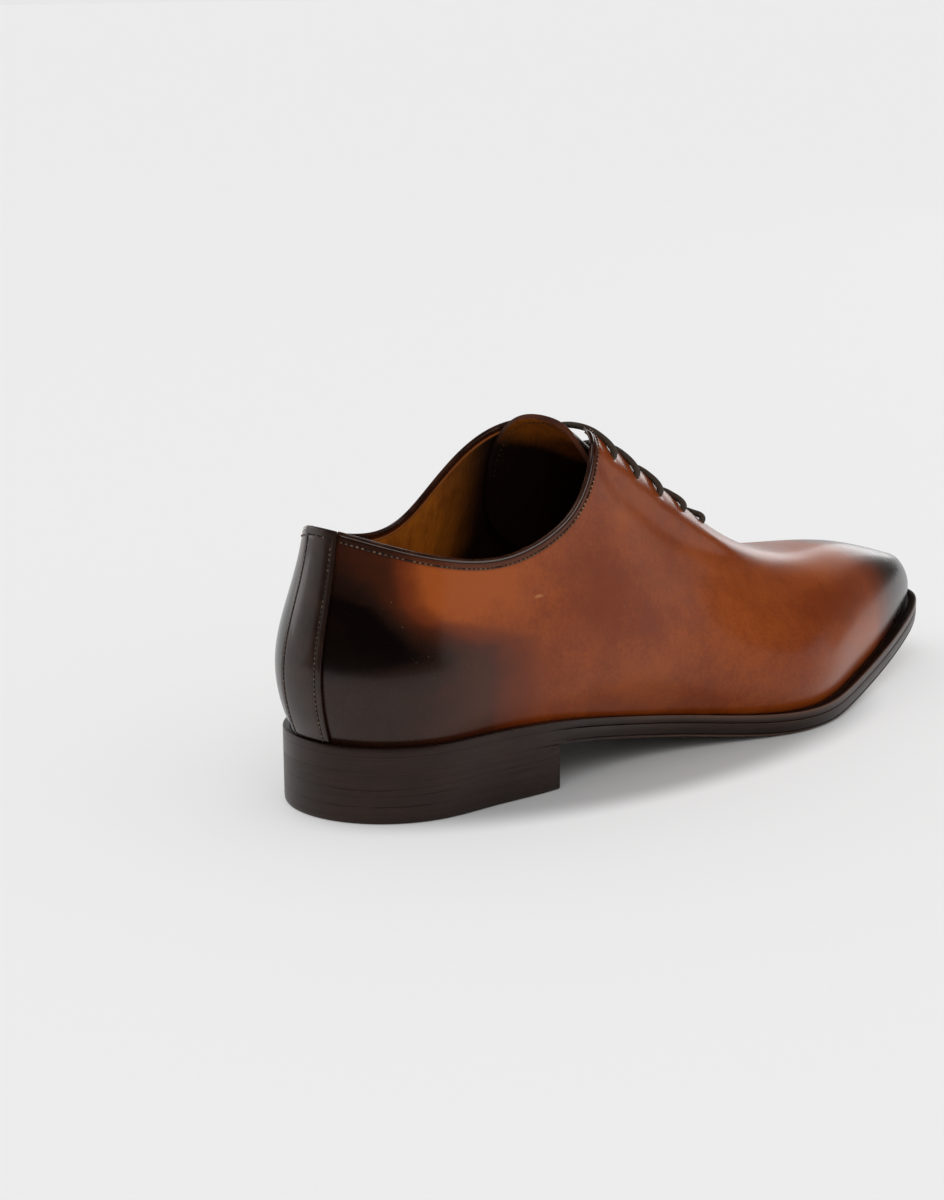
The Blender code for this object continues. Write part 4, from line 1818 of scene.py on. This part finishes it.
        # Painted shade: the lining darkens towards the toe and lower down, where little light reaches inside
        # the shoe
        deep = np.clip(soft_step(x, 74.0, 102.0) + 0.5 * soft_step(-z, -72.0, -50.0), 0, 1)
        mesh = grid_mesh("lining", inside, {"edge": edge, "deep": deep})
        even_tip(mesh)
        mesh.materials.append(self.finishes.lining)
        thing = maker("lining", mesh)
        add_wall(thing, self.lining, outward=False)
        add_piece("upper_lining", self.lacing.pierce(thing))

    def build_beads(self) -> None:
        """Make the rolled edge of the collar on each side."""
        for side, rim in zip(("lateral", "medial"), self.rims):
            line = rim.line(rim.run_at(strip_station()) - 0.5, rim.corner - 2.2, -self.bead_lift, -WALL / 2)
            mesh = tube_mesh(f"bead_{side}", smooth_path(line, 0.8), self.bead_radius, 14, point=4.0)
            mesh.materials.append(self.finishes.bead)
            add_piece(f"topline_bead_{side}_roll", mesh, [f"topline_bead_{side}"])

    def build_seams(self, stitches: RowNodes) -> None:
        """Sew the collar and the facings.

        Args:
            stitches: The tree that lays stitches.
        """
        dark, pale = [], []
        for rim in self.rims:
            change = rim.corner - self.change
            dark.append(rim.line(rim.run_at(strip_station()) + 1.6, change, self.seam_inset, 0.07))
            pale.append(rim.line(change, rim.length - 4.0, self.seam_inset, 0.07))
        thread = RowSizes(pitch=1.85, length=1.0, thickness=0.6)
        # The near-black dots at the needle holes are painted shade
        holes = RowSizes(pitch=0.925, length=0.92, thickness=0.58)
        seams = (
            ("collar_stitches", dark, thread, self.finishes.thread),
            ("facing_stitches", pale, thread, self.finishes.pale_thread),
            ("collar_needle_hole_shade", dark + pale, holes, self.finishes.hole),
        )
        for name, paths, sizes, finish in seams:
            add_piece(name, stitches.lay(name, paths, sizes, finish))

    def build(self, stitches: RowNodes) -> None:
        """Make every piece of the upper.

        Args:
            stitches: The tree that lays stitches.
        """
        self.build_leather()
        self.build_lining()
        self.build_beads()
        self.build_seams(stitches)


@dataclass
class BackStrip:
    """Strip over the seam at the heel's back, sewn along its sides and top."""

    finishes: Finishes
    thickness: float = 1.1
    inset: float = 2.2
    bed: float = 0.08
    groove: float = 0.14

    def point(self, station: float, share: float, offset: float) -> np.ndarray:
        """Find a point on the strip.

        Args:
            station: The section's station.
            share: Share of the strip's height.
            offset: How far out of the upper's outside it lies.

        Returns:
            The point.
        """
        station, share = float(station), float(share)
        cut = LAST.cut(station % ROUND)
        foot = cut.at_height(LIP_LINE.at(0) + FIT + 0.4)
        head = LAST.rim(station) + 0.012
        return LAST.beside(station, foot + (head - foot) * share, offset)

    def build(self, stitches: RowNodes) -> None:
        """Make the strip and its stitches.

        Args:
            stitches: The tree that lays stitches.
        """
        half = strip_station()
        across = np.linspace(-half, half, 41)
        shares = np.linspace(0.0, 1.0, 121)
        side = STRIP_HALF_WIDTH * (1.0 - abs(across) / half)
        height = np.linalg.norm(self.point(0.0, 1.0, 0) - self.point(0.0, 0.0, 0))
        inset = np.minimum(side[:, None], ((1.0 - shares) * height)[None])
        groove = -self.groove * hump(inset, self.inset, 0.6)
        points = np.array([[self.point(s, u, self.bed) for u in shares] for s in across])
        normals = np.array([[self.point(s, u, self.bed + 1.0) for u in shares] for s in across]) - points
        mesh = grid_mesh("strip", points + groove[..., None] * normals)
        mesh.materials.append(self.finishes.strip)
        thing = maker("strip", mesh)
        add_wall(thing, self.thickness, outward=True)
        add_round(thing, 0.3)
        add_piece("back_strip_leather", settled(thing), ["back_strip"])
        lift = self.thickness + 0.02
        narrow = half * (1.0 - self.inset / STRIP_HALF_WIDTH)
        top = 1.0 - self.inset / height
        rises = np.linspace(0.01, top, 160)
        paths = [np.array([self.point(s, u, lift) for u in rises]) for s in (-narrow, narrow)]
        paths.append(np.array([self.point(s, top, lift) for s in np.linspace(-narrow, narrow, 40)]))
        thread = RowSizes(pitch=1.6, length=0.86, thickness=0.5, seed=8)
        # The near-black dots at the needle holes are painted shade
        holes = RowSizes(pitch=0.8, length=0.8, thickness=0.5, seed=8)
        rows = (("stitches", thread, self.finishes.thread), ("needle_hole_shade", holes, self.finishes.hole))
        for name, sizes, finish in rows:
            add_piece(f"back_strip_{name}", stitches.lay(name, paths, sizes, finish))


@dataclass
class Tongue:
    """Tongue under the facings, with a raw rounded top and a sewn edge."""

    finishes: Finishes
    end_x: float = 196.0
    end_half: float = 15.0
    top_depth: float = 3.4
    depth: float = 4.6
    end_depth: float = 2.4
    thickness: float = 1.8
    inset: float = 2.0
    first_stitch: int = 12
    last_stitch: int = -16

    def point(self, x: float, reach: float, offset: float) -> np.ndarray:
        """Find a point on the tongue.

        Args:
            x: Place along the shoe.
            reach: Reach, below zero on the outer side.
            offset: How far under the tongue's outer face it lies.

        Returns:
            The point.
        """
        ridge = 0.05
        places = (103.0, 124.0, 176.0, self.end_x)
        depth = float(np.interp(x, places, (self.top_depth, self.depth, self.depth, self.end_depth)))
        return LAST.across(float(x), float(reach) if abs(reach) > ridge else ridge, -depth - offset)

    def outline(self, inset: float) -> np.ndarray:
        """Its top edge in plan, as places and reaches.

        Args:
            inset: How far inside the edge the line lies.

        Returns:
            Points from the outer side to the inner one.
        """
        line = smooth_path(TONGUE_OUTLINE, 1.2)
        way = np.gradient(line, axis=0)
        inward = np.column_stack([way[:, 1], -way[:, 0]]) / np.linalg.norm(way, axis=1)[:, None]
        return line + inset * inward

    @staticmethod
    def ease(grid: np.ndarray, reaches: np.ndarray) -> None:
        """Round off the sheet's crest in place.

        Args:
            grid: Rows of points across the tongue.
            reaches: Reach of each place in a row.
        """
        spread, rounds = 9.0, 30
        share = hump(reaches, 0.0, spread)[None, 1:-1, None]
        for _ in range(rounds):
            even = 0.25 * grid[:, :-2] + 0.5 * grid[:, 1:-1] + 0.25 * grid[:, 2:]
            grid[:, 1:-1] += share * (even - grid[:, 1:-1])

    def build(self, stitches: RowNodes) -> None:
        """Make the tongue and the stitches at its top.

        Args:
            stitches: The tree that lays stitches.
        """
        top = self.outline(0.0)
        ends = np.column_stack([
            np.full(len(top), self.end_x), np.linspace(-self.end_half, self.end_half, len(top))])
        shares = np.linspace(0.0, 1.0, 46) ** 1.35
        grid = np.array([[self.point(x, r, 0.0) for x, r in top + (ends - top) * u] for u in shares])
        self.ease(grid, top[:, 1])
        inner = soft_step(top[:, 1], 8.0, 24.0)
        # Painted shade: the tongue's inner face darkens lower down and towards the inner side, where shade
        # falls inside the shoe
        deep = np.clip(0.3 + 0.7 * soft_step(-grid[..., 2], -110.0, -94.0) + 0.55 * inner, 0, 1)
        mesh = grid_mesh("tongue", grid, {"edge": np.zeros(grid.shape[:2]), "deep": deep})
        for finish in (self.finishes.strip, self.finishes.lining, self.finishes.raw):
            mesh.materials.append(finish)
        thing = maker("tongue", mesh)
        add_wall(thing, self.thickness, outward=False, inner=1, rim=2)
        add_round(thing, 0.5, 3)
        add_piece("tongue_leather", settled(thing), ["tongue"])
        inside = self.outline(self.inset)[self.first_stitch:self.last_stitch]
        line = np.array([self.point(x, r, self.thickness + 0.1) for x, r in inside])
        self.ease(line[None], inside[:, 1])
        sizes = RowSizes(pitch=1.9, length=1.2, thickness=0.42, seed=5)
        rows = stitches.lay("tongue_stitches", [line], sizes, self.finishes.dark_thread)
        add_piece("tongue_stitches", rows)


def lip_wear_and_highlight(points: np.ndarray, marks: Sequence[float]) -> np.ndarray:
    """Worn dye and painted highlight of an edge's lips, which show from the waist on.

    Args:
        points: Columns of points round the edge.
        marks: Worn dye and painted highlight of each point in a column.

    Returns:
        The worn dye and painted highlight of every point.
    """
    heel_ends, waist_ends = 90, 150
    return np.asarray(marks, float) * soft_step(points[..., 0], heel_ends, waist_ends)


def flat(height: float) -> Rule:
    """The rule of a face that is level at a height."""
    return lambda x: height


class Level(NamedTuple):
    """A step up a slab's side: how far in from the edge, how high over its foot or top, and how much worn
    dye and painted highlight its lip shows.
    """

    inset: float
    up: float
    from_top: bool = False
    wear_and_highlight: float = 0.0


@dataclass
class Sole:
    """Insole, welt with its wheeled ribs, and outsole."""

    finishes: Finishes
    step: float = 1 / 14
    lip: float = 0.7
    foot: float = 0.35
    rib_pitch: float = 1.15
    rib_first_x: float = 150.0
    rib_share: float = 0.34

    def stations(self, last: float = TOE) -> np.ndarray:
        """Stations from the heel's back to a last one."""
        return np.round(np.linspace(0, last, round(last / self.step) + 1), 5)

    @staticmethod
    def slab(
            name: str, stations: np.ndarray, reach: Rule, low: Rule, high: Rule,
            levels: Sequence[Level], ease: Rule = flat(1.0)) -> bpy.types.Mesh:
        """A closed body between two heights.

        Args:
            name: The mesh's name.
            stations: Stations that it runs over, on both sides.
            reach: Gives the reach of its edge at a station.
            low: Gives the height of its lower face at x.
            high: Gives the height of its upper face at x.
            levels: Steps up its side.
            ease: Gives the share of the levels' insets at x.

        Returns:
            The mesh.
        """
        strips = 12
        shares = np.linspace(-1, 1, strips + 1)[1:-1]
        up = [(-1.0, level, level.wear_and_highlight) for level in levels]
        top = [(share, levels[-1], 0.0) for share in shares]
        down = [(1.0, level, level.wear_and_highlight) for level in reversed(levels)]
        bottom = [(-share, levels[0], 0.0) for share in shares]
        loop = up + top + down + bottom + up[:1]
        points = []
        for station in stations:
            column = []
            for share, level, _ in loop:
                place = float(station if share < 0 else (ROUND - station) % ROUND)
                cut = LAST.cut(place)
                eased = level.inset * ease(cut.plan(cut.edge)[0])
                x, y = cut.plan(abs(share) * (reach(place) - eased))
                column.append((x, y, (high(x) if level.from_top else low(x)) + level.up))
            points.append(column)
        points = np.array(points)
        mesh = grid_mesh(name, points, {"wear_and_highlight": lip_wear_and_highlight(points, [mark for _, _, mark in loop])})
        weld(mesh, closed=True)
        mesh.set_sharp_from_angle(angle=radians(35))
        return mesh

    @staticmethod
    def edge(station: float) -> float:
        """Reach of the sole's edge."""
        return LAST.cut(station).edge

    @staticmethod
    def front(x: float) -> float:
        """0 over the heel and 1 from the waist on, where the layers of the edge show."""
        return float(soft_step(x, 66.0, 96.0))

    @staticmethod
    def inside(station: float) -> float:
        """Reach of the insole inside the wall, allowing for a wall that runs slantwise to the section.

        Args:
            station: The section's station.

        Returns:
            The reach.
        """
        cut = LAST.cut(station)
        line = (LAST.outer(station + 0.02, 0.0) - LAST.outer(station - 0.02, 0.0))[:2]
        slant = abs(cut.way[0] * line[1] - cut.way[1] * line[0]) / np.linalg.norm(line)
        return cut.feather - (WALL + 0.1) / slant

    def build_outsole(self) -> None:
        """Make the outsole, with a waxed edge and a plain leather tread."""
        # Marked lips: worn dye, and painted highlights where the bevels catch the light
        levels = (
            Level(2.4, 0.0),
            Level(1.1, 0.12),
            Level(0.45, 0.55, wear_and_highlight=0.8),
            Level(0.28, 1.05),
            Level(0.55, 1.25),
            Level(0.28, 1.5),
            Level(0.04, 2.4),
            Level(0.0, -1.4, True),
            Level(0.02, -0.45, True),
            Level(0.16, -0.12, True, 0.5),
            Level(0.45, 0.0, True),
        )
        mesh = self.slab(
            "outsole", self.stations(), self.edge, outsole_bottom, outsole_top, levels, self.front)
        for finish in (self.finishes.edge, self.finishes.tread):
            mesh.materials.append(finish)
        for face in mesh.polygons:
            face.material_index = int(face.normal.z < -0.8)
        add_piece("outsole_leather", mesh, ["outsole"])

    def build_insole(self) -> None:
        """Make the insole."""
        levels = (Level(0.0, 0.0), Level(0.0, -0.4, True), Level(0.4, 0.0, True))
        mesh = self.slab("insole", self.stations(), self.inside, insole_bottom, insole_top, levels)
        mesh.materials.append(self.finishes.lining)
        add_piece("insole_sock", mesh, ["insole"])

    @staticmethod
    def welt_head(cut: Cut) -> float:
        """Reach where the welt's top meets the upper in a section."""
        return float(cut.curve.at(cut.at_height(LIP_LINE.at(cut.plan(cut.edge)[0])))[0, 0])

    def welt_point(self, station: float, share: float) -> np.ndarray:
        """Find a point on the welt's top.

        Args:
            station: The section's station.
            share: Share of the way from its edge to the upper.

        Returns:
            The point.
        """
        cut = LAST.cut(station % ROUND)
        lip = cut.edge - self.lip
        point = cut.plan(lip + (self.welt_head(cut) - lip) * share)
        return np.array([*point, LIP_LINE.at(point[0])])

    def build_welt(self, ribs: RowNodes) -> None:
        """Make the welt and the ribs wheeled into its top.

        Args:
            ribs: The tree that lays ribs.
        """
        points = []
        for station in self.stations(ROUND):
            cut = LAST.cut(float(station % ROUND))
            edge = cut.plan(cut.edge)[0]
            low = outsole_top(edge) + 0.06
            top = LIP_LINE.at(edge)
            layered = self.front(edge)
            corners = (
                (cut.feather + self.foot, low),
                (cut.edge - 0.5 * layered, low),
                (cut.edge - 0.12 * layered, low + 0.25),
                (cut.edge, low + 0.8),
                (cut.edge, top - 0.4),
                (cut.edge - 0.1, top - 0.12),
                (cut.edge - 0.4, top),
                (cut.edge - self.lip, top),
                (self.welt_head(cut) + 0.05, top),
                (cut.feather + self.foot, low),
            )
            column = []
            for reach, height in corners:
                point = cut.plan(reach)
                column.append((*point, height + LIP_LINE.at(point[0]) - top))
            points.append(column)
        points = np.array(points)
        # Pale welt lip along its outer top edge: painted highlight where the bevel catches the light, and
        # worn dye
        mesh = grid_mesh("welt", points, {"wear_and_highlight": lip_wear_and_highlight(points, (0, 0, 0, 0, 0.6, 1, 0.7, 0, 0, 0))})
        weld(mesh, closed=True)
        mesh.set_sharp_from_angle(angle=radians(40))
        mesh.materials.append(self.finishes.edge)
        add_piece("welt_leather", mesh, ["welt"])
        first = LAST.station(self.rib_first_x)
        stations = np.arange(first, ROUND - first, 0.01)
        line = np.array([self.welt_point(float(station), self.rib_share) for station in stations])
        sizes = RowSizes(pitch=self.rib_pitch, length=2.4, thickness=0.5, uneven=0.05, seed=2)
        add_piece("welt_ribs", ribs.lay("welt_ribs", [line], sizes, self.finishes.edge))

    def build(self, ribs: RowNodes) -> None:
        """Make every piece of the sole.

        Args:
            ribs: The tree that lays ribs.
        """
        self.build_insole()
        self.build_welt(ribs)
        self.build_outsole()


@dataclass
class Heel:
    """Stacked lifts under the heel seat, down to the piece on the floor."""

    finishes: Finishes
    top_lift: float = 5.7
    lift: float = 5.2
    seam: float = 0.01

    def seat(self, x: float) -> float:
        """Height of the upper lift's top, just under the outsole."""
        return outsole_bottom(x) - self.seam

    def build(self) -> None:
        """Make the three lifts."""
        first = self.top_lift + FIT
        second = first + self.lift + FIT
        stations = np.round(np.linspace(0, BREAST, 20 * BREAST + 1), 5)
        rounded = (Level(0.03, 0.0), Level(0.0, 0.03), Level(0.0, -0.03, True), Level(0.03, 0.0, True))
        worn = (Level(1.2, 0.0), Level(0.5, 0.2), Level(0.1, 0.8), Level(0.0, 2.0), *rounded[2:])
        lifts = (
            ("heel_top_lift", flat(0.0), flat(first - self.seam), worn),
            ("heel_lift_lower", flat(first), flat(second - self.seam), rounded),
            ("heel_lift_upper", flat(second), self.seat, rounded),
        )
        for node, low, high, levels in lifts:
            mesh = Sole.slab(node, stations, Sole.edge, low, high, levels)
            mesh.materials.append(self.finishes.stack)
            add_piece(f"{node}_leather", mesh, [node])


class Softbox(NamedTuple):
    """A softbox: its name, where it hangs, its width and height, and its power in watts."""

    name: str
    place: tuple[float, float, float]
    size: tuple[float, float]
    power: float


@dataclass
class Studio:
    """Pale ground with a low wall round its back, soft light and the camera."""

    finishes: Finishes
    eye: tuple[float, float, float] = (-0.70225, -0.6833, 0.2710)
    azimuth: float = -42.477
    elevation: float = 13.029
    roll: float = -0.653
    focal_pixels: float = 2870.5
    image_height: float = 1200.0
    sensor_height: float = 36.0
    radius: float = 13.2
    cove: float = 1.2
    near_radius: float = 0.62
    back_wall: tuple[float, float, float] = (14.0, 146.0, 5.0)
    side_wall: tuple[float, float, float] = (286.0, 350.0, 4.6)
    dome: float = 0.86
    key_power: float = 0.5
    key_spread: float = 40.0
    key_from: tuple[float, float, float] = (-0.7, -0.8, 1.3)
    softboxes: tuple[Softbox, ...] = (
        Softbox("rim", (1.78, 0.91, 0.42), (0.55, 0.5), 1.9),
        Softbox("back", (-0.75, 1.85, 0.42), (0.8, 0.6), 2.4),
        Softbox("top", (0.25, 0.25, 2.0), (0.9, 0.9), 1.7),
    )

    def build_camera(self) -> None:
        """Put the camera where the photograph was taken from."""
        turn, up = radians(self.azimuth), radians(self.elevation)
        back = Vector((sin(turn) * cos(up), -cos(turn) * cos(up), sin(up)))
        right = Vector((cos(turn), sin(turn), 0.0))
        above = back.cross(right)
        roll = radians(self.roll)
        side = cos(roll) * right + sin(roll) * above
        head = -sin(roll) * right + cos(roll) * above
        data = bpy.data.cameras.new("camera")
        data.sensor_fit = "VERTICAL"
        data.sensor_height = self.sensor_height
        data.lens = self.focal_pixels * self.sensor_height / self.image_height
        data.clip_start = 0.01
        camera = bpy.data.objects.new("camera", data)
        pose = Matrix((side, head, back)).transposed().to_4x4()
        camera.matrix_world = Matrix.Translation(Vector(self.eye)) @ pose
        bpy.context.scene.collection.objects.link(camera)
        bpy.context.scene.camera = camera

    def build_ground(self) -> None:
        """Make the floor, short on the camera's side, and two walls that it sweeps up into."""
        inner = self.radius - self.cove
        near, far = radians(self.back_wall[1]), radians(self.side_wall[0])
        angles = np.linspace(0.0, 2 * pi, 289)
        reach = np.where((angles > near) & (angles < far), self.near_radius, inner)
        grids = {"floor": np.array([
            [(r * share * cos(a), r * share * sin(a), 0.0) for share in (0.0, 0.1, 0.4, 1.0)]
            for a, r in zip(angles, reach)])}
        bend = np.linspace(0.0, pi / 2, 13)
        for name, (first, last, height) in (("back_wall", self.back_wall), ("side_wall", self.side_wall)):
            profile = [(inner + self.cove * sin(a), self.cove * (1 - cos(a))) for a in bend]
            profile.append((self.radius, height))
            turns = np.radians(np.linspace(first, last, 49))
            grids[name] = np.array([[(r * cos(a), r * sin(a), z) for r, z in profile] for a in turns])
        for name, grid in grids.items():
            mesh = grid_mesh(f"studio_{name}", grid / MM + MIDDLE)
            mesh.materials.append(self.finishes.floor if name == "floor" else self.finishes.wall)
            maker(f"studio_{name}", mesh)

    @staticmethod
    def hang(light: bpy.types.Light, way: Sequence[float]) -> bpy.types.Object:
        """Put a light in the scene, turned to shine on the shoe from a way.

        Args:
            light: The light's data.
            way: The way from the shoe to the light.

        Returns:
            The light's object.
        """
        lamp = bpy.data.objects.new(light.name, light)
        lamp.rotation_euler = Vector(way).to_track_quat("Z", "Y").to_euler()
        bpy.context.scene.collection.objects.link(lamp)
        return lamp

    def build_light(self) -> None:
        """Light the set with an even dome and a soft key, and with softboxes that show only as gleams."""
        world = bpy.data.worlds.new("studio")
        world.use_nodes = True
        sky = world.node_tree.nodes["Background"].inputs
        sky["Color"].default_value = (1.0, 1.0, 1.0, 1.0)
        sky["Strength"].default_value = self.dome
        bpy.context.scene.world = world
        world.cycles_visibility.glossy = False
        key = bpy.data.lights.new("key", "SUN")
        key.energy = self.key_power
        key.angle = radians(self.key_spread)
        self.hang(key, self.key_from).visible_glossy = False
        for box in self.softboxes:
            light = bpy.data.lights.new(box.name, "AREA")
            light.shape = "RECTANGLE"
            light.size, light.size_y = box.size
            light.energy = box.power
            lamp = self.hang(light, box.place)
            lamp.location = box.place
            lamp.visible_diffuse = False
        bpy.context.scene.view_settings.view_transform = "Standard"

    def build(self) -> None:
        """Set up camera, ground and light."""
        self.build_camera()
        self.build_ground()
        self.build_light()


def main() -> None:
    """Dress the shoe and set it in its studio."""
    logging.basicConfig(level=logging.INFO, format="%(name)s %(message)s")
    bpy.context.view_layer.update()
    finishes = Finishes()
    stitches = RowNodes(Stance.ALONG)
    ribs = RowNodes(Stance.ACROSS)
    lacing = Lacing(finishes)
    Studio(finishes).build()
    Upper(finishes, lacing, (Rim(False), Rim(True))).build(stitches)
    BackStrip(finishes).build(stitches)
    Tongue(finishes).build(stitches)
    lacing.build()
    Sole(finishes).build(ribs)
    Heel(finishes).build()


if __name__ == "__main__":
    main()
